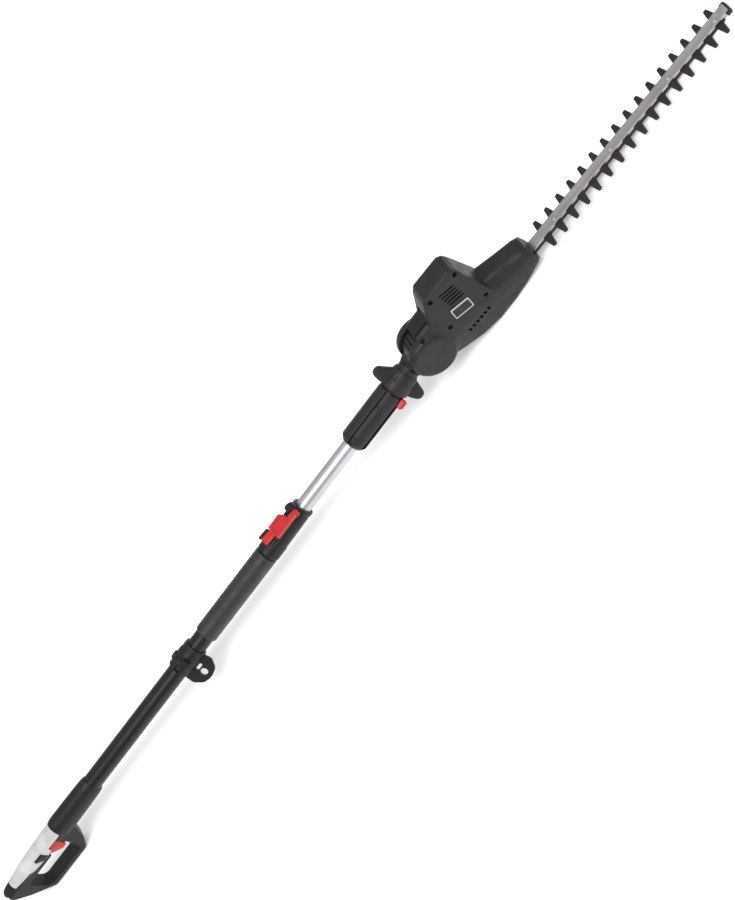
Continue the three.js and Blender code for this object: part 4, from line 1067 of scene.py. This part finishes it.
# ---- Cutter -------------------------------------------------------------------------------

TOOTH_COUNT = 16
TOOTH_PITCH = 25.3
FIRST_TOOTH_X = 228
TOOTH_TIP_Y = 29.7
TOOTH_LEAN = 1.5  # how far each tip leans towards the tip on the -Y side and towards the head on the other
SPINE_Y = 10  # half-width of the blade between its teeth
BLADE_T = 2
UPPER_BLADE_Z = -43.3
LOWER_BLADE_Z = -45.6
BAR_Z = (-41, -37.4)
BAR_FRONT = 631
BLADE_BOLT_X = (253, 379.5, 506, 607)


def blade_outline():
    """The toothed blade in plan from its yoke to its end, both rows of teeth alike."""
    near = []
    for i in range(TOOTH_COUNT):
        x = FIRST_TOOTH_X + i * TOOTH_PITCH
        near += [
            (x - 6.4, -SPINE_Y, 1.6), (x + TOOTH_LEAN - 3.2, -TOOTH_TIP_Y, 2.4),
            (x + TOOTH_LEAN + 3.2, -TOOTH_TIP_Y, 2.4), (x + 6.4, -SPINE_Y, 1.6),
        ]
    middle = FIRST_TOOTH_X + (TOOTH_COUNT - 1) * TOOTH_PITCH / 2
    far = [(2 * middle - x, -y, r) for x, y, r in near]
    end = FIRST_TOOTH_X + (TOOTH_COUNT - 1) * TOOTH_PITCH + 10.4
    yoke = [(90, -17), (140, -17), (148, -SPINE_Y)]
    yoke_back = [(x, -y) for x, y in reversed(yoke)]
    return rounded([*yoke, *near, (end, -SPINE_Y), (end, SPINE_Y), *far, *yoke_back])


def build_blades():
    window = rounded([(94, -15), (137, -15), (137, 15), (94, 15)])
    slots = [slot_outline(x, 0, 21.6, 8) for x in BLADE_BOLT_X]
    for name, low in (("upper_blade", UPPER_BLADE_Z), ("lower_blade", LOWER_BLADE_Z)):
        blade = prism(blade_outline(), low, low + BLADE_T, "xy", holes=[window, *slots])
        piece(name, eased(blade, 0.55, 2), HEAD, name)


def build_guide_bar():
    bar = prism(rounded([(172, -9.2), (BAR_FRONT, -9.2), (BAR_FRONT, 9.2), (172, 9.2)]), *BAR_Z, "xy",
                holes=[circle(x, 0, 3.9) for x in BLADE_BOLT_X])
    piece("guide_bar", eased(bar, 0.7, 3), HEAD, "guide_bar")


def build_blade_bolts():
    foot = LOWER_BLADE_Z - 1.1
    top = BAR_Z[1]
    for i, x in enumerate(BLADE_BOLT_X):
        bolt = lathe([
            (foot, 0), (foot, 3), (top + 0.1, 3), (top + 0.1, 4.4), (top + 0.4, 4.5), (top + 0.8, 4),
            (top + 0.9, 3), (top + 0.9, 0),
        ], "z", 40)
        name = f"blade_bolt_{i + 1}"
        piece(name, moved(bolt, placed(x)), HEAD, name)


def build_tip_guard():
    rear = BAR_FRONT - 6.4
    cap = prism(rounded([
        (rear, -10.5), (BAR_FRONT + 1, -10.5, 2), (BAR_FRONT + 3, -8, 3), (BAR_FRONT + 3, 8, 3),
        (BAR_FRONT + 1, 10.5, 2), (rear, 10.5),
    ]), LOWER_BLADE_Z - 0.1, BAR_Z[1] + 0.1, "xy")
    space = block((rear - 9, BAR_FRONT + 0.2), (-9.3, 9.3), (BAR_Z[0] - 0.2, 0))
    piece("tip_guard", eased(carved(cap, space), 0.5), HEAD, "tip_guard")


def build_cutter():
    build_blades()
    build_guide_bar()
    build_blade_bolts()
    build_tip_guard()


# ---- Studio -------------------------------------------------------------------------------

CAMERA_OFFSET = Vector((1.042, -2.449, 2.413))  # from the tilt hinge, in metres
CAMERA_YAW = 26.72  # degrees from +Y towards -X
CAMERA_PITCH = 41.75  # degrees down
CAMERA_ROLL = -70.96  # degrees, so that the pole runs up the picture
CAMERA_LENS = 100  # millimetres, on a sensor SENSOR_WIDTH wide
SENSOR_WIDTH = 36
FLOOR_HALF = 40
FLOOR_Z = (-0.05, -0.0002)
FLOOR_GLOW = 0.28  # keeps the floor pale in a light soft enough for the machine
KEY_PLACE = (0.1, -1.3, 2.9)
KEY_SIZE = (4.5, 1.6)
KEY_POWER = 88


def build_camera():
    camera = bpy.data.objects.new("camera", bpy.data.cameras.new("camera"))
    camera.data.lens = CAMERA_LENS
    camera.data.sensor_width = SENSOR_WIDTH
    camera.data.clip_end = 60
    yaw, pitch, roll = (math.radians(a) for a in (CAMERA_YAW, CAMERA_PITCH, CAMERA_ROLL))
    forward = Vector((-math.sin(yaw) * math.cos(pitch), math.cos(yaw) * math.cos(pitch), -math.sin(pitch)))
    level = Vector((math.cos(yaw), math.sin(yaw), 0))
    upright = level.cross(forward)
    right = level * math.cos(roll) + upright * math.sin(roll)
    up = upright * math.cos(roll) - level * math.sin(roll)
    facing = Matrix((right, up, -forward)).transposed().to_4x4()
    camera.matrix_world = Matrix.Translation(HINGE + CAMERA_OFFSET) @ facing
    bpy.context.scene.collection.objects.link(camera)
    bpy.context.scene.camera = camera


def build_key_light():
    """One long soft box above the machine's near side, aimed at its middle."""
    light = bpy.data.objects.new("key", bpy.data.lights.new("key", "AREA"))
    light.data.shape = "RECTANGLE"
    light.data.size, light.data.size_y = KEY_SIZE
    light.data.energy = KEY_POWER
    light.location = KEY_PLACE
    aim = Vector((0, 0, 0.05)) - Vector(KEY_PLACE)
    light.rotation_euler = aim.to_track_quat("-Z", "Y").to_euler()
    bpy.context.scene.collection.objects.link(light)


def shade_sky(tree):
    """A soft white sky, brightest overhead and dimmer towards the horizon."""
    direction = tree.nodes.new("ShaderNodeTexCoord").outputs["Generated"]
    split = tree.nodes.new("ShaderNodeSeparateXYZ")
    tree.links.new(direction, split.inputs["Vector"])
    dome = tree.nodes.new("ShaderNodeMapRange")
    dome.interpolation_type = "SMOOTHSTEP"
    for socket, number in (("From Min", -0.2), ("From Max", 0.9), ("To Min", 0.3), ("To Max", 0.75)):
        dome.inputs[socket].default_value = number
    tree.links.new(split.outputs["Z"], dome.inputs["Value"])
    background = tree.nodes["Background"]
    background.inputs["Color"].default_value = (1, 1, 1, 1)
    tree.links.new(dome.outputs["Result"], background.inputs["Strength"])


def build_floor():
    floor = scratch(block((-FLOOR_HALF, FLOOR_HALF), (-FLOOR_HALF, FLOOR_HALF), FLOOR_Z))
    floor.name = "floor"
    nodes = Nodes("floor")
    tone = nodes.mix(nodes.noise(3), (0.9, 0.9, 0.9), (0.93, 0.93, 0.93))
    nodes.link(tone, nodes.shader.inputs["Base Color"])
    nodes.shader.inputs["Roughness"].default_value = 0.9
    nodes.shader.inputs["Emission Color"].default_value = (1, 1, 1, 1)
    nodes.shader.inputs["Emission Strength"].default_value = FLOOR_GLOW
    floor.data.materials.append(nodes.material)


def build_studio():
    build_floor()
    world = bpy.data.worlds.new("studio")
    world.use_nodes = True
    shade_sky(world.node_tree)
    bpy.context.scene.world = world
    build_key_light()
    bpy.context.scene.view_settings.view_transform = "Standard"


# ---- Assembly -----------------------------------------------------------------------------

make_materials()
dress_cad_nodes()
build_camera()
build_studio()
build_handle()
build_lower_pole()
build_upper_pole()
build_head()
build_cutter()
